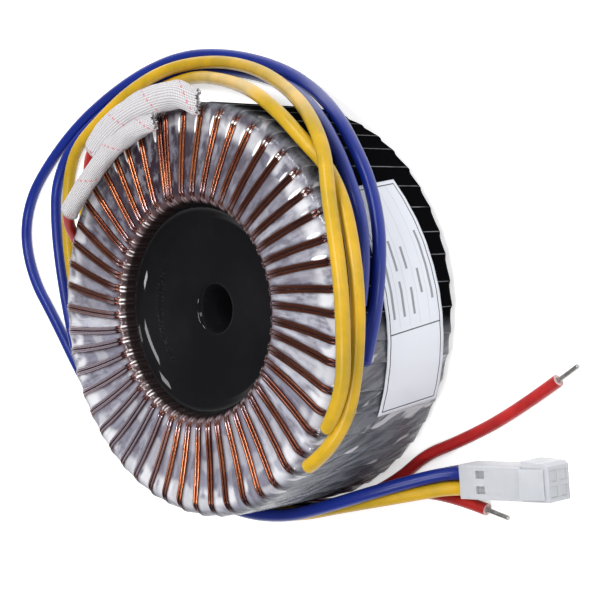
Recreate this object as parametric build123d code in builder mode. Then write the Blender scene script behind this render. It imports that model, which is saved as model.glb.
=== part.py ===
from build123d import *
import os
from math import asin, cos, degrees, pi, radians, sin, sqrt, tan

# Toroidal mains transformer with a potted centre, its secondary leads in a
# four-way wire connector and its primary leads tinned. Millimetres. The axis
# is +Z, the part stands on its flat wrapped face at Z = 0.

# ------------------------------------------------------------------ sizes
overall_diameter = 105.0        # over the pleats of the outer film
overall_height = 43.0
bore_diameter = 53.0            # between the pleats of the film in the bore

# outer film
film_wall = 0.25
pleat_rise = 0.40               # crest over each wire pair, on the rim
pleat_rise_bore = 0.25
pleat_rise_face = 0.35          # at the outer edge of each face, less towards the bore
film_rim_edge = 4.2             # bevel of the wrapped corner, rim side
film_bore_edge = 3.2

# outermost secondary, two wires wound side by side
pairs = 52
wire = 0.90
pair_spacing = 1.10
wire_rim_edge = 3.4
wire_bore_edge = 2.8
lay = -1                        # -1: the turns drift clockwise, seen from above, on their way out

# insulating strip around the rim, between winding and film
strip_thickness = 0.25
strip_height = 31.0

# clearances between neighbours that are not bonded
lay_gap = 0.10

# layers below the outer secondary, from the outside in
layer_sides = 18
inner_secondary_build = 1.3
interwinding_wall = 0.45
primary_build = 1.5
core_insulation_wall = 0.5
bore_crowding = 1.45            # windings build up thicker where they crowd in the bore
layer_rim_edge = 3.2
layer_bore_edge = 2.6

# potted centre
bolt_hole = 9.0
bolt_mouth = 13.5
potting_height = 34.2
meniscus_width = 5.0
meniscus_rise = 2.6

# rating label, left plain
label_length = 58.0
label_width = 20.6
label_thickness = 0.15
label_tilt = 8.5
label_height = 18.4             # its middle above the base

# leads
yellow_lead = 3.5
blue_lead = 3.1
red_lead = 3.1
conductor = 1.2
conductor_length = 6.8

# braided sleeves over the red leads, flattened where they lie
upper_sleeve_width = 6.6
upper_sleeve_height = 4.6
lower_sleeve_width = 5.6
lower_sleeve_height = 4.4
sleeve_wall = 0.5

# four-way connector, lying on its side
contact_pitch = 3.7
connector_size = 8.4
connector_length = 26.0
connector_rear = 55.0
connector_y = -45.8
lead_pocket = 7.4
lead_pocket_depth = 4.0
cavity = 2.6
terminal_size = 2.2
terminal_length = 17.0
crimp_length = 5.5
flange_length = 7.5
flange_rise = 1.2
latch_window = 2.6

# -------------------------------------------------------- derived values
pitch = 360 / pairs
film_rim = overall_diameter / 2
film_bore = bore_diameter / 2
middle = overall_height / 2

valley_rim = film_rim - pleat_rise
valley_bore = film_bore + pleat_rise_bore
valley_half = middle - pleat_rise_face
side_flat = cos(pi / pairs)     # flat over corner of a ring with one side to a pitch

hollow_rim = valley_rim - film_wall
hollow_bore = valley_bore + film_wall * 0.8
hollow_half = valley_half - film_wall * 1.4
hollow_rim_edge = film_rim_edge - 0.3
hollow_bore_edge = film_bore_edge - 0.2

strip_rim = hollow_rim - lay_gap
strip_bore = strip_rim - strip_thickness

wire_rim = strip_bore * side_flat - lay_gap - wire / 2
wire_bore = hollow_bore + lay_gap + wire / 2
wire_half = hollow_half - lay_gap - wire / 2

stack_flat = cos(pi / layer_sides)
stack_rim = wire_rim - wire / 2 - lay_gap
stack_bore = (wire_bore + wire / 2 + lay_gap) / stack_flat
stack_half = wire_half - wire / 2 - lay_gap


def at(radius, z, angle):
    """Point at a radius, a height and an azimuth in degrees."""
    return (radius * cos(radians(angle)), radius * sin(radians(angle)), z)


def ring(bore, rim, half, bore_edge, rim_edge, sides):
    """Many-sided ring with bevelled corners about the mid plane."""
    with BuildPart(mode=Mode.PRIVATE) as body:
        for height, inset in ((-half, rim_edge), (rim_edge - half, 0), (half - rim_edge, 0), (half, rim_edge)):
            with BuildSketch(Plane.XY.offset(middle + height)):
                RegularPolygon(rim - inset, sides)
        loft(ruled=True)
        for height, flare in ((-half, bore_edge), (bore_edge - half, 0), (half - bore_edge, 0), (half, bore_edge)):
            with BuildSketch(Plane.XY.offset(middle + height)):
                RegularPolygon(bore + flare, sides)
        loft(ruled=True, mode=Mode.SUBTRACT)
    return body.part


def layer_form(depth, winding_depth):
    """Outer form of the stack below a depth of insulation and of winding."""
    total = depth + winding_depth
    bore_total = depth + winding_depth * bore_crowding
    return ring(
        stack_bore + bore_total,
        stack_rim - total,
        stack_half - total,
        max(layer_bore_edge - bore_total, 0.6),
        max(layer_rim_edge - total, 0.6),
        layer_sides,
    )


# ------------------------------------------------- core and inner layers
secondary_form = layer_form(0, 0)
interwinding_form = layer_form(0, inner_secondary_build)
primary_form = layer_form(interwinding_wall, inner_secondary_build)
insulated_core_form = layer_form(interwinding_wall, inner_secondary_build + primary_build)

inner_wall = interwinding_wall + core_insulation_wall
windings_build = inner_secondary_build + primary_build
core_rim = (stack_rim - inner_wall - windings_build) * stack_flat - lay_gap
core_bore = stack_bore + inner_wall + windings_build * bore_crowding + lay_gap
core_half = stack_half - inner_wall - windings_build - lay_gap

with BuildPart() as steel_core:
    with BuildSketch(Plane.XY.offset(middle - core_half)):
        Circle(core_rim)
        Circle(core_bore, mode=Mode.SUBTRACT)
    extrude(amount=2 * core_half)

with BuildPart() as core_insulation:
    add(insulated_core_form)
    with BuildSketch(Plane.XY.offset(middle - core_half - lay_gap)):
        RegularPolygon((core_rim + lay_gap) / stack_flat, layer_sides)
        RegularPolygon(core_bore - lay_gap, layer_sides, mode=Mode.SUBTRACT)
    extrude(amount=2 * (core_half + lay_gap), mode=Mode.SUBTRACT)

with BuildPart() as primary_winding:
    add(primary_form)
    add(insulated_core_form, mode=Mode.SUBTRACT)

with BuildPart() as interwinding_insulation:
    add(interwinding_form)
    add(primary_form, mode=Mode.SUBTRACT)

with BuildPart() as inner_secondary:
    add(secondary_form)
    add(interwinding_form, mode=Mode.SUBTRACT)

# ---------------------------------------- outer secondary, two strands
spread_bore = degrees(pair_spacing / wire_bore)
spread_rim = degrees(pair_spacing / wire_rim)
wire_top = middle + wire_half
wire_foot = middle - wire_half


def turn(lead_bore, lead_rim):
    """One turn of a strand, lofted through the mitre at each bend, from bore to bore."""
    a_bore = lead_bore
    a_rim = lay * pitch / 2 + lead_rim
    a_next = lay * pitch + lead_bore
    bends = (
        (wire_bore, wire_top - wire_bore_edge, a_bore, 67.5),
        (wire_bore + wire_bore_edge, wire_top, a_bore, 22.5),
        (wire_rim - wire_rim_edge, wire_top, a_rim, -22.5),
        (wire_rim, wire_top - wire_rim_edge, a_rim, -67.5),
        (wire_rim, wire_foot + wire_rim_edge, a_rim, -112.5),
        (wire_rim - wire_rim_edge, wire_foot, a_rim, -157.5),
        (wire_bore + wire_bore_edge, wire_foot, a_next, -202.5),
        (wire_bore, wire_foot + wire_bore_edge, a_next, -247.5),
        (wire_bore, wire_top - wire_bore_edge, a_next, -292.5),
    )
    with BuildPart(mode=Mode.PRIVATE) as body:
        for radius, z, angle, heading in bends:
            across = (-sin(radians(angle)), cos(radians(angle)), 0)
            along = at(cos(radians(heading)), sin(radians(heading)), angle)
            with BuildSketch(Plane(origin=at(radius, z, angle), x_dir=across, z_dir=along)):
                Rectangle(wire, wire / cos(radians(22.5)))
        loft(ruled=True)
    return body.part


first_turn = turn(0, 0)
second_turn = turn(spread_bore, spread_rim)

with BuildPart() as outer_secondary_strand_a:
    with PolarLocations(0, pairs):
        add(first_turn)

with BuildPart() as outer_secondary_strand_b:
    with PolarLocations(0, pairs):
        add(second_turn)

# ------------------------------------------------ strip around the rim
with BuildPart() as rim_strip:
    with BuildSketch(Plane.XY.offset(middle - strip_height / 2)):
        RegularPolygon(strip_rim, pairs)
        RegularPolygon(strip_bore, pairs, mode=Mode.SUBTRACT)
    extrude(amount=strip_height)

# --------------------------------------------------------- outer film
# The film is drawn tight over the pairs: a crest over each pair, a valley
# between. Its pleats run with the pairs, a little off the radius.
pleat_lean = lay * pitch / 2 + (spread_rim - spread_bore) / 2
pleat_offset = sin(radians(pleat_lean)) / (1 / film_bore - 1 / film_rim)
crest_azimuth = spread_bore / 2 + degrees(asin(pleat_offset / film_bore))


def pleat_sections(first_angle):
    """Planes and corners of the film's section at a valley, the next crest and the next valley."""
    for angle, lift in ((first_angle, 0), (first_angle + pitch / 2, 1), (first_angle + pitch, 0)):
        rim = valley_rim + pleat_rise * lift
        bore = valley_bore - pleat_rise_bore * lift
        half = valley_half + pleat_rise_face * lift
        half_in = valley_half + pleat_rise_face * lift * film_bore / film_rim
        corners = (
            (bore, half_in - film_bore_edge),
            (bore + film_bore_edge, half_in),
            (rim - film_rim_edge, half),
            (rim, half - film_rim_edge),
            (rim, film_rim_edge - half),
            (rim - film_rim_edge, -half),
            (bore + film_bore_edge, -half_in),
            (bore, film_bore_edge - half_in),
        )
        yield angle, [(sqrt(r * r - pleat_offset**2), z) for r, z in corners]


with BuildPart() as film_pitch:
    for angle, outline in pleat_sections(crest_azimuth - pitch / 2):
        foot = at(pleat_offset, middle, angle - 90)
        with BuildSketch(Plane(origin=foot, x_dir=at(1, 0, angle), z_dir=at(1, 0, angle - 90))):
            with BuildLine():
                Polyline(*outline, close=True)
            make_face()
    loft(ruled=True)

with BuildPart() as wrapped_form:
    with PolarLocations(0, pairs):
        add(film_pitch.part)

hollow = ring(hollow_bore, hollow_rim, hollow_half, hollow_bore_edge, hollow_rim_edge, pairs)

with BuildPart() as outer_film:
    add(wrapped_form.part)
    add(hollow, mode=Mode.SUBTRACT)

# ------------------------------------------------------ potted centre
# Cast in the bore against the film, flush with the base, with a meniscus
# that climbs the wall and a rounded mouth on the bolt hole.
cast_reach = film_bore + 0.8
foot_reach = film_bore + film_bore_edge - 0.3

with BuildPart() as centre_potting:
    with BuildSketch(Plane.XZ):
        with BuildLine():
            Line((bolt_hole / 2, 0), (foot_reach, 0))
            Line((foot_reach, 0), (foot_reach, film_bore_edge))
            Line((foot_reach, film_bore_edge), (cast_reach, film_bore_edge + 1.5))
            Line((cast_reach, film_bore_edge + 1.5), (cast_reach, potting_height + meniscus_rise))
            Polyline(
                (cast_reach, potting_height + meniscus_rise),
                (cast_reach - meniscus_width * 0.28, potting_height + meniscus_rise * 0.42),
                (cast_reach - meniscus_width * 0.6, potting_height + meniscus_rise * 0.1),
                (cast_reach - meniscus_width, potting_height),
            )
            Line((cast_reach - meniscus_width, potting_height), (bolt_mouth / 2 + 1.2, potting_height))
            Polyline(
                (bolt_mouth / 2 + 1.2, potting_height),
                (bolt_mouth / 2 + 0.25, potting_height - 0.45),
                (bolt_mouth / 2 - 0.2, potting_height - 1.5),
            )
            Line((bolt_mouth / 2 - 0.2, potting_height - 1.5), (bolt_hole / 2, potting_height - 4.5))
            Line((bolt_hole / 2, potting_height - 4.5), (bolt_hole / 2, 0))
        make_face()
    revolve(axis=Axis.Z)
    add(wrapped_form.part, mode=Mode.SUBTRACT)

# -------------------------------------------------------- rating label
with BuildPart() as rating_label:
    with BuildSketch(Plane.XY):
        Circle(film_rim + 0.05 + label_thickness)
        Circle(film_rim + 0.05, mode=Mode.SUBTRACT)
    extrude(amount=overall_height)
    with BuildSketch(Plane.YZ):
        with Locations((0, label_height)):
            Rectangle(label_length * 0.95, label_width, rotation=label_tilt)
    extrude(amount=overall_diameter, mode=Mode.INTERSECT)

# ------------------------------------------------------ routes of leads
yellow_a_route = [
    (42, -31.5, 44), (46.5, -28, 45), (52, -19, 45.6), (55.5, -8, 47), (56, 3.5, 46.8),
    (54, 14.5, 45.6), (51, 24, 43.6), (47.5, 35, 40), (37, 45.5, 33.6), (15.5, 54.5, 17.4),
    (-0.5, 62, 10.4), (-16, 67, 6.2), (-30.5, 69.5, 4.8), (-45.5, 69.5, 5.2), (-62, 65.5, 5),
    (-78, 58.5, 4.4), (-90, 52.7, 3.4), (-97, 44.5, 1.8), (-99, 33.5, 1.8), (-100, 21.5, 1.8),
    (-96.5, 0.5, 1.8), (-90.5, -19, 1.8), (-79, -35, 1.8), (-64, -44.5, 3.2), (-46, -48.8, 6.6),
    (-27.5, -51.3, 10.8), (-10.5, -54.8, 11.7), (6.5, -55, 11.8), (21, -52.3, 11.5), (33, -50.4, 9.2),
    (43, -48.8, 5.9), (49.5, -47.75, 3.6), (54.3, -47.65, 2.35), (59, -47.65, 2.35),
]
yellow_b_route = [
    (36.5, -39, 43), (41, -37, 43.6), (46.5, -33, 43.4), (51, -26, 41.8), (54.5, -16.5, 41.6),
    (57, -6, 42.2), (57, 4, 42.2), (55, 15.5, 41.4), (51, 24, 39.2), (45, 32, 37.2),
    (39.5, 38, 38.4), (33, 45, 38.6), (22.5, 51.5, 35.6), (4, 57, 23), (-15, 62, 12.4),
    (-31.5, 65.5, 5.6), (-46, 65.6, 2.5), (-59.5, 63.5, 1.8), (-70, 59.5, 1.8), (-82, 51, 1.8),
    (-89, 38, 1.8), (-92.5, 22, 1.8), (-91.5, 4, 1.8), (-86, -14, 1.8), (-75.5, -29, 1.8),
    (-63, -39.7, 3.8), (-45.5, -46, 10.3), (-27.3, -50.4, 14.6), (-10.5, -54.8, 15.3), (6.5, -55, 15.4),
    (21, -52.3, 15.2), (33, -50.4, 13.1), (43, -48.8, 9.7), (49.6, -47.75, 7.5), (54.3, -47.65, 6.05),
    (59, -47.65, 6.05),
]
blue_a_route = [
    (52, -16.6, 37.2), (53.6, -11.5, 36.6), (55.2, -3, 34.8), (55, 8, 32), (53, 17.5, 29.2),
    (48.5, 27.5, 26.2), (43, 36, 24.2), (34, 45.5, 19.8), (16, 55, 8.4), (1.5, 62.5, 3.8),
    (-13.5, 68, 1.6), (-27.5, 71.5, 1.6), (-42, 73, 1.6), (-58, 71, 1.6), (-74, 66.5, 1.6),
    (-91, 59.5, 1.6), (-106, 50, 1.6), (-117.5, 40, 1.6), (-122.5, 27.5, 1.6), (-119, 13, 1.6),
    (-110, 1, 1.6), (-98, -17.5, 1.6), (-84, -35, 1.6), (-70, -50.5, 1.6), (-48, -51.8, 2.6),
    (-28, -52, 7), (-11, -54.7, 8.2), (6, -54.8, 8.2), (20, -51.4, 8), (31, -48.3, 6.7),
    (41, -46, 4.5), (49.5, -44.1, 3), (54.3, -43.95, 2.35), (59, -43.95, 2.35),
]
blue_b_route = [
    (54.2, -2, 39.2), (54.9, 3.5, 38.4), (54.2, 11.5, 36.4), (52, 19.5, 34.4),
    (47.5, 28, 32.2), (41.5, 36.5, 29.4), (31, 46, 23.6), (8.5, 56.5, 8.2), (-8.5, 62.5, 2.8),
    (-21.5, 66, 1.6), (-36, 68.5, 1.6), (-51.5, 68.8, 1.6), (-68, 65, 1.6), (-83, 59.5, 1.6),
    (-96, 52.5, 1.6), (-104, 42.5, 1.6), (-105.5, 31, 1.6), (-105, 18, 1.6), (-100.5, 1, 3),
    (-92.5, -16.5, 6), (-80, -29, 5.8), (-63, -36, 6.4), (-46, -41.5, 12.4), (-28, -49.8, 18.2),
    (-11, -54.7, 18.8), (6, -54.9, 18.9), (20.5, -51.6, 18.6), (32.5, -48.3, 16.3), (43, -45.5, 11.2),
    (49.6, -44.1, 7.7), (54.3, -43.95, 6.05), (59, -43.95, 6.05),
]
red_a_route = [
    (17, 52, 44.6), (5.5, 54.5, 44.6), (-6.5, 54.5, 44.6), (-18, 52, 44.6), (-28.5, 47, 44.6),
    (-37, 41, 42), (-44, 34.5, 36), (-49.5, 26.5, 28.4), (-54, 14.5, 20), (-56, 2, 11.6),
    (-55, -11.5, 4.4), (-49.5, -26, 1.6), (-38, -40.5, 1.6), (-22, -50, 1.6), (-4.5, -54.5, 1.6),
    (13.5, -53.5, 1.6), (29.5, -47, 1.6), (39.5, -40.2, 1.6), (50, -37, 1.6), (66.5, -30.4, 1.6),
    (81, -22.2, 1.6),
]
red_b_route = [
    (-2.5, 48.5, 45.6), (-12.5, 47, 45.6), (-22, 43.5, 45.6), (-30.5, 38, 45.6), (-38, 32, 45.6),
    (-46, 27.5, 43.6), (-52, 21, 35.6), (-55.5, 12, 27), (-57.5, 1, 18), (-58, -11.5, 9.6),
    (-55, -24.5, 5.4), (-44.5, -38.5, 4.9), (-28, -48.4, 4.9), (-10.5, -54.5, 4.9), (6, -54.8, 4.9),
    (21.2, -51.7, 4.7), (32, -49.4, 3.3), (45.5, -50, 1.6), (57.5, -53.4, 1.6),
]


def bend_radii(route):
    """Radius of the arc at each inner point, as large as its two runs allow."""
    radii = []
    for before, here, after in zip(route, route[1:], route[2:]):
        run_in = Vector(*here) - Vector(*before)
        run_out = Vector(*after) - Vector(*here)
        half_turn = radians(run_in.get_angle(run_out) / 2)
        radii.append(0.45 * min(run_in.length, run_out.length) / tan(half_turn))
    return radii


def end_plane(route):
    """Plane across the start of a route."""
    return Plane(origin=route[0], z_dir=Vector(*route[1]) - Vector(*route[0]))


for name, route in (
    ("yellow_lead_a", yellow_a_route),
    ("yellow_lead_b", yellow_b_route),
    ("blue_lead_a", blue_a_route),
    ("blue_lead_b", blue_b_route),
    ("red_lead_a", red_a_route),
    ("red_lead_b", red_b_route),
):
    print(name, "bend radii", [round(radius, 1) for radius in bend_radii(route)])

with BuildPart() as yellow_lead_a:
    with BuildLine():
        FilletPolyline(*yellow_a_route, radius=bend_radii(yellow_a_route))
    with BuildSketch(end_plane(yellow_a_route)):
        Circle(yellow_lead / 2)
    sweep()

with BuildPart() as yellow_lead_b:
    with BuildLine():
        FilletPolyline(*yellow_b_route, radius=bend_radii(yellow_b_route))
    with BuildSketch(end_plane(yellow_b_route)):
        Circle(yellow_lead / 2)
    sweep()

with BuildPart() as blue_lead_a:
    with BuildLine():
        FilletPolyline(*blue_a_route, radius=bend_radii(blue_a_route))
    with BuildSketch(end_plane(blue_a_route)):
        Circle(blue_lead / 2)
    sweep()

with BuildPart() as blue_lead_b:
    with BuildLine():
        FilletPolyline(*blue_b_route, radius=bend_radii(blue_b_route))
    with BuildSketch(end_plane(blue_b_route)):
        Circle(blue_lead / 2)
    sweep()

with BuildPart() as red_lead_a:
    with BuildLine():
        FilletPolyline(*red_a_route, radius=bend_radii(red_a_route))
    with BuildSketch(end_plane(red_a_route)):
        Circle(red_lead / 2)
    sweep()

with BuildPart() as red_lead_b:
    with BuildLine():
        FilletPolyline(*red_b_route, radius=bend_radii(red_b_route))
    with BuildSketch(end_plane(red_b_route)):
        Circle(red_lead / 2)
    sweep()


# ----------------------------------------------------- tinned conductors
def tip_plane(route):
    """Plane across the end of a route, facing out of the lead."""
    return Plane(origin=route[-1], z_dir=Vector(*route[-1]) - Vector(*route[-2]))


with BuildPart() as red_a_conductor:
    with BuildSketch(tip_plane(red_a_route)):
        Circle(conductor / 2)
    extrude(amount=conductor_length)
    fillet(red_a_conductor.edges().sort_by(Axis.X)[-1], conductor * 0.3)

with BuildPart() as red_b_conductor:
    with BuildSketch(tip_plane(red_b_route)):
        Circle(conductor / 2)
    extrude(amount=conductor_length)
    fillet(red_b_conductor.edges().sort_by(Axis.X)[-1], conductor * 0.3)


# ------------------------------------------------------- braided sleeves
def sleeve_route(route, corners):
    """The first stretch of a lead's route, to half way past its last bend in the sleeve."""
    last = (Vector(*route[corners]) + Vector(*route[corners + 1])) / 2
    return [*route[: corners + 1], (last.X, last.Y, last.Z)]


def level_plane(route):
    """Plane across the start of a route, with its X axis level."""
    along = Vector(*route[1]) - Vector(*route[0])
    return Plane(origin=route[0], x_dir=along.cross(Vector(0, 0, 1)), z_dir=along)


upper_route = sleeve_route(red_a_route, 4)
lower_route = sleeve_route(red_b_route, 4)

with BuildPart() as upper_sleeve:
    with BuildLine():
        FilletPolyline(*upper_route, radius=bend_radii(red_a_route)[:4])
    with BuildSketch(level_plane(upper_route)):
        Ellipse(upper_sleeve_width / 2, upper_sleeve_height / 2)
        Ellipse(upper_sleeve_width / 2 - sleeve_wall, upper_sleeve_height / 2 - sleeve_wall, mode=Mode.SUBTRACT)
    sweep()

with BuildPart() as lower_sleeve:
    with BuildLine():
        FilletPolyline(*lower_route, radius=bend_radii(red_b_route)[:4])
    with BuildSketch(level_plane(lower_route)):
        Ellipse(lower_sleeve_width / 2, lower_sleeve_height / 2)
        Ellipse(lower_sleeve_width / 2 - sleeve_wall, lower_sleeve_height / 2 - sleeve_wall, mode=Mode.SUBTRACT)
    sweep()

# ------------------------------------------------- connector and contacts
contact_start = connector_rear + lead_pocket_depth
connector_front = connector_rear + connector_length
connector_z = connector_size / 2

with BuildPart() as connector_housing:
    with BuildSketch(Plane.YZ.offset(connector_rear)):
        with Locations((connector_y, connector_z)):
            RectangleRounded(connector_size, connector_size, 0.5)
    extrude(amount=connector_length)
    # flange around the mating end, open below where the housing lies
    with BuildSketch(Plane.XY.offset(0)):
        with BuildLine():
            Polyline(
                (connector_front - flange_length, connector_y - connector_size / 2),
                (connector_front - flange_length, connector_y + connector_size / 2 + flange_rise),
                (connector_front - 1.0, connector_y + connector_size / 2 + flange_rise * 0.6),
                (connector_front, connector_y + connector_size / 2),
                (connector_front, connector_y - connector_size / 2),
                close=True,
            )
        make_face()
    extrude(amount=connector_size)
    # latch ramp on the upper side
    with BuildSketch(Plane.XZ.offset(-connector_y)):
        with BuildLine():
            Polyline(
                (connector_front - flange_length, connector_size),
                (connector_front - flange_length, connector_size + flange_rise),
                (connector_front - 1.0, connector_size + flange_rise * 0.4),
                (connector_front - 1.0, connector_size),
                close=True,
            )
        make_face()
    extrude(amount=connector_size / 2 - 0.6, both=True)
    # pocket for the insulation, then a cavity for each contact
    with BuildSketch(Plane.YZ.offset(connector_rear)):
        with Locations((connector_y, connector_z)):
            RectangleRounded(lead_pocket, lead_pocket, 0.6)
    extrude(amount=lead_pocket_depth, mode=Mode.SUBTRACT)
    with BuildSketch(Plane.YZ.offset(contact_start)):
        with Locations((connector_y, connector_z)):
            with GridLocations(contact_pitch, contact_pitch, 2, 2):
                Rectangle(cavity, cavity)
    extrude(amount=connector_length - lead_pocket_depth, mode=Mode.SUBTRACT)
    # windows that the contacts' barbs catch in
    with BuildSketch(Plane.XY.offset(connector_size)):
        with Locations((contact_start + 2.2, connector_y)):
            with GridLocations(1, contact_pitch, 1, 2):
                Rectangle(latch_window, latch_window * 0.7)
    extrude(amount=-1.0, mode=Mode.SUBTRACT)

with BuildPart() as crimp_terminals:
    with BuildSketch(Plane.YZ.offset(contact_start)):
        with Locations((connector_y, connector_z)):
            with GridLocations(contact_pitch, contact_pitch, 2, 2):
                Circle(terminal_size / 2)
    extrude(amount=crimp_length)
    with BuildSketch(Plane.YZ.offset(contact_start + crimp_length)):
        with Locations((connector_y, connector_z)):
            with GridLocations(contact_pitch, contact_pitch, 2, 2):
                Rectangle(terminal_size, terminal_size)
    extrude(amount=terminal_length - crimp_length)
    with BuildSketch(Plane.YZ.offset(contact_start + terminal_length)):
        with Locations((connector_y, connector_z)):
            with GridLocations(contact_pitch, contact_pitch, 2, 2):
                Rectangle(terminal_size - 0.8, terminal_size - 0.8)
    extrude(amount=crimp_length - terminal_length, mode=Mode.SUBTRACT)

# --------------------------------------------------------------- export
os.makedirs("parts", exist_ok=True)

steel_core.part.label = "steel_core"
export_step(steel_core.part, "parts/steel_core.step")
core_insulation.part.label = "core_insulation"
export_step(core_insulation.part, "parts/core_insulation.step")
primary_winding.part.label = "primary_winding"
export_step(primary_winding.part, "parts/primary_winding.step")
interwinding_insulation.part.label = "interwinding_insulation"
export_step(interwinding_insulation.part, "parts/interwinding_insulation.step")
inner_secondary.part.label = "inner_secondary"
export_step(inner_secondary.part, "parts/inner_secondary.step")
outer_secondary_strand_a.part.label = "outer_secondary_strand_a"
export_step(outer_secondary_strand_a.part, "parts/outer_secondary_strand_a.step")
outer_secondary_strand_b.part.label = "outer_secondary_strand_b"
export_step(outer_secondary_strand_b.part, "parts/outer_secondary_strand_b.step")
rim_strip.part.label = "rim_strip"
export_step(rim_strip.part, "parts/rim_strip.step")
outer_film.part.label = "outer_film"
export_step(outer_film.part, "parts/outer_film.step")
centre_potting.part.label = "centre_potting"
export_step(centre_potting.part, "parts/centre_potting.step")
rating_label.part.label = "rating_label"
export_step(rating_label.part, "parts/rating_label.step")
yellow_lead_a.part.label = "yellow_lead_a"
export_step(yellow_lead_a.part, "parts/yellow_lead_a.step")
yellow_lead_b.part.label = "yellow_lead_b"
export_step(yellow_lead_b.part, "parts/yellow_lead_b.step")
blue_lead_a.part.label = "blue_lead_a"
export_step(blue_lead_a.part, "parts/blue_lead_a.step")
blue_lead_b.part.label = "blue_lead_b"
export_step(blue_lead_b.part, "parts/blue_lead_b.step")
red_lead_a.part.label = "red_lead_a"
export_step(red_lead_a.part, "parts/red_lead_a.step")
red_lead_b.part.label = "red_lead_b"
export_step(red_lead_b.part, "parts/red_lead_b.step")
red_a_conductor.part.label = "red_a_conductor"
export_step(red_a_conductor.part, "parts/red_a_conductor.step")
red_b_conductor.part.label = "red_b_conductor"
export_step(red_b_conductor.part, "parts/red_b_conductor.step")
upper_sleeve.part.label = "upper_sleeve"
export_step(upper_sleeve.part, "parts/upper_sleeve.step")
lower_sleeve.part.label = "lower_sleeve"
export_step(lower_sleeve.part, "parts/lower_sleeve.step")
connector_housing.part.label = "connector_housing"
export_step(connector_housing.part, "parts/connector_housing.step")
crimp_terminals.part.label = "crimp_terminals"
export_step(crimp_terminals.part, "parts/crimp_terminals.step")
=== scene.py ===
"""Toroidal mains transformer: windings, clear wrap, potted centre, label, leads and studio."""

import logging
import math
import random
from collections.abc import Callable, Iterable, Sequence
from dataclasses import dataclass, field
from enum import Enum
from functools import reduce

import bmesh
import bpy
import numpy as np
from mathutils import Matrix, Vector


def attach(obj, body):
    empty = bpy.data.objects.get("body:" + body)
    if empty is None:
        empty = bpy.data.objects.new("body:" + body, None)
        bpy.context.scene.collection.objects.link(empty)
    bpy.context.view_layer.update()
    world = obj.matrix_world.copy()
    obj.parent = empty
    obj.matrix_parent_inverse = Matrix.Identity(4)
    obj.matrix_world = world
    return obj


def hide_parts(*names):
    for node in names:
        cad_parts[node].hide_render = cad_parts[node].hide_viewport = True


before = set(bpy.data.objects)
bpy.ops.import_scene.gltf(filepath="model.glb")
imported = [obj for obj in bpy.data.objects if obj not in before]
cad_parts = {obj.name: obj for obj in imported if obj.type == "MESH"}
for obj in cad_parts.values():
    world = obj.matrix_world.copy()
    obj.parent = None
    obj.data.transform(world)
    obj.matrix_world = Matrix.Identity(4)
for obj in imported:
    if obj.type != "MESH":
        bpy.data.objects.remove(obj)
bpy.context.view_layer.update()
BODY = "root"
MM = 0.001
Point = tuple[float, float, float]
Colour = tuple[float, float, float, float]
Material = bpy.types.Material
Node = bpy.types.Node
Object = bpy.types.Object
Socket = bpy.types.NodeSocket
Tree = bpy.types.NodeTree

# Attributes that the wires and the film carry for their finishes.
WIRE_MARKS = ("flank", "shade", "film_reflection", "hook")
WRAP_MARKS = ("edge", "rim", "bore", "ridge", "tip", "tone", "dark", "crease", "glow", "gloom", "spark")
log = logging.getLogger("transformer")


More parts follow.
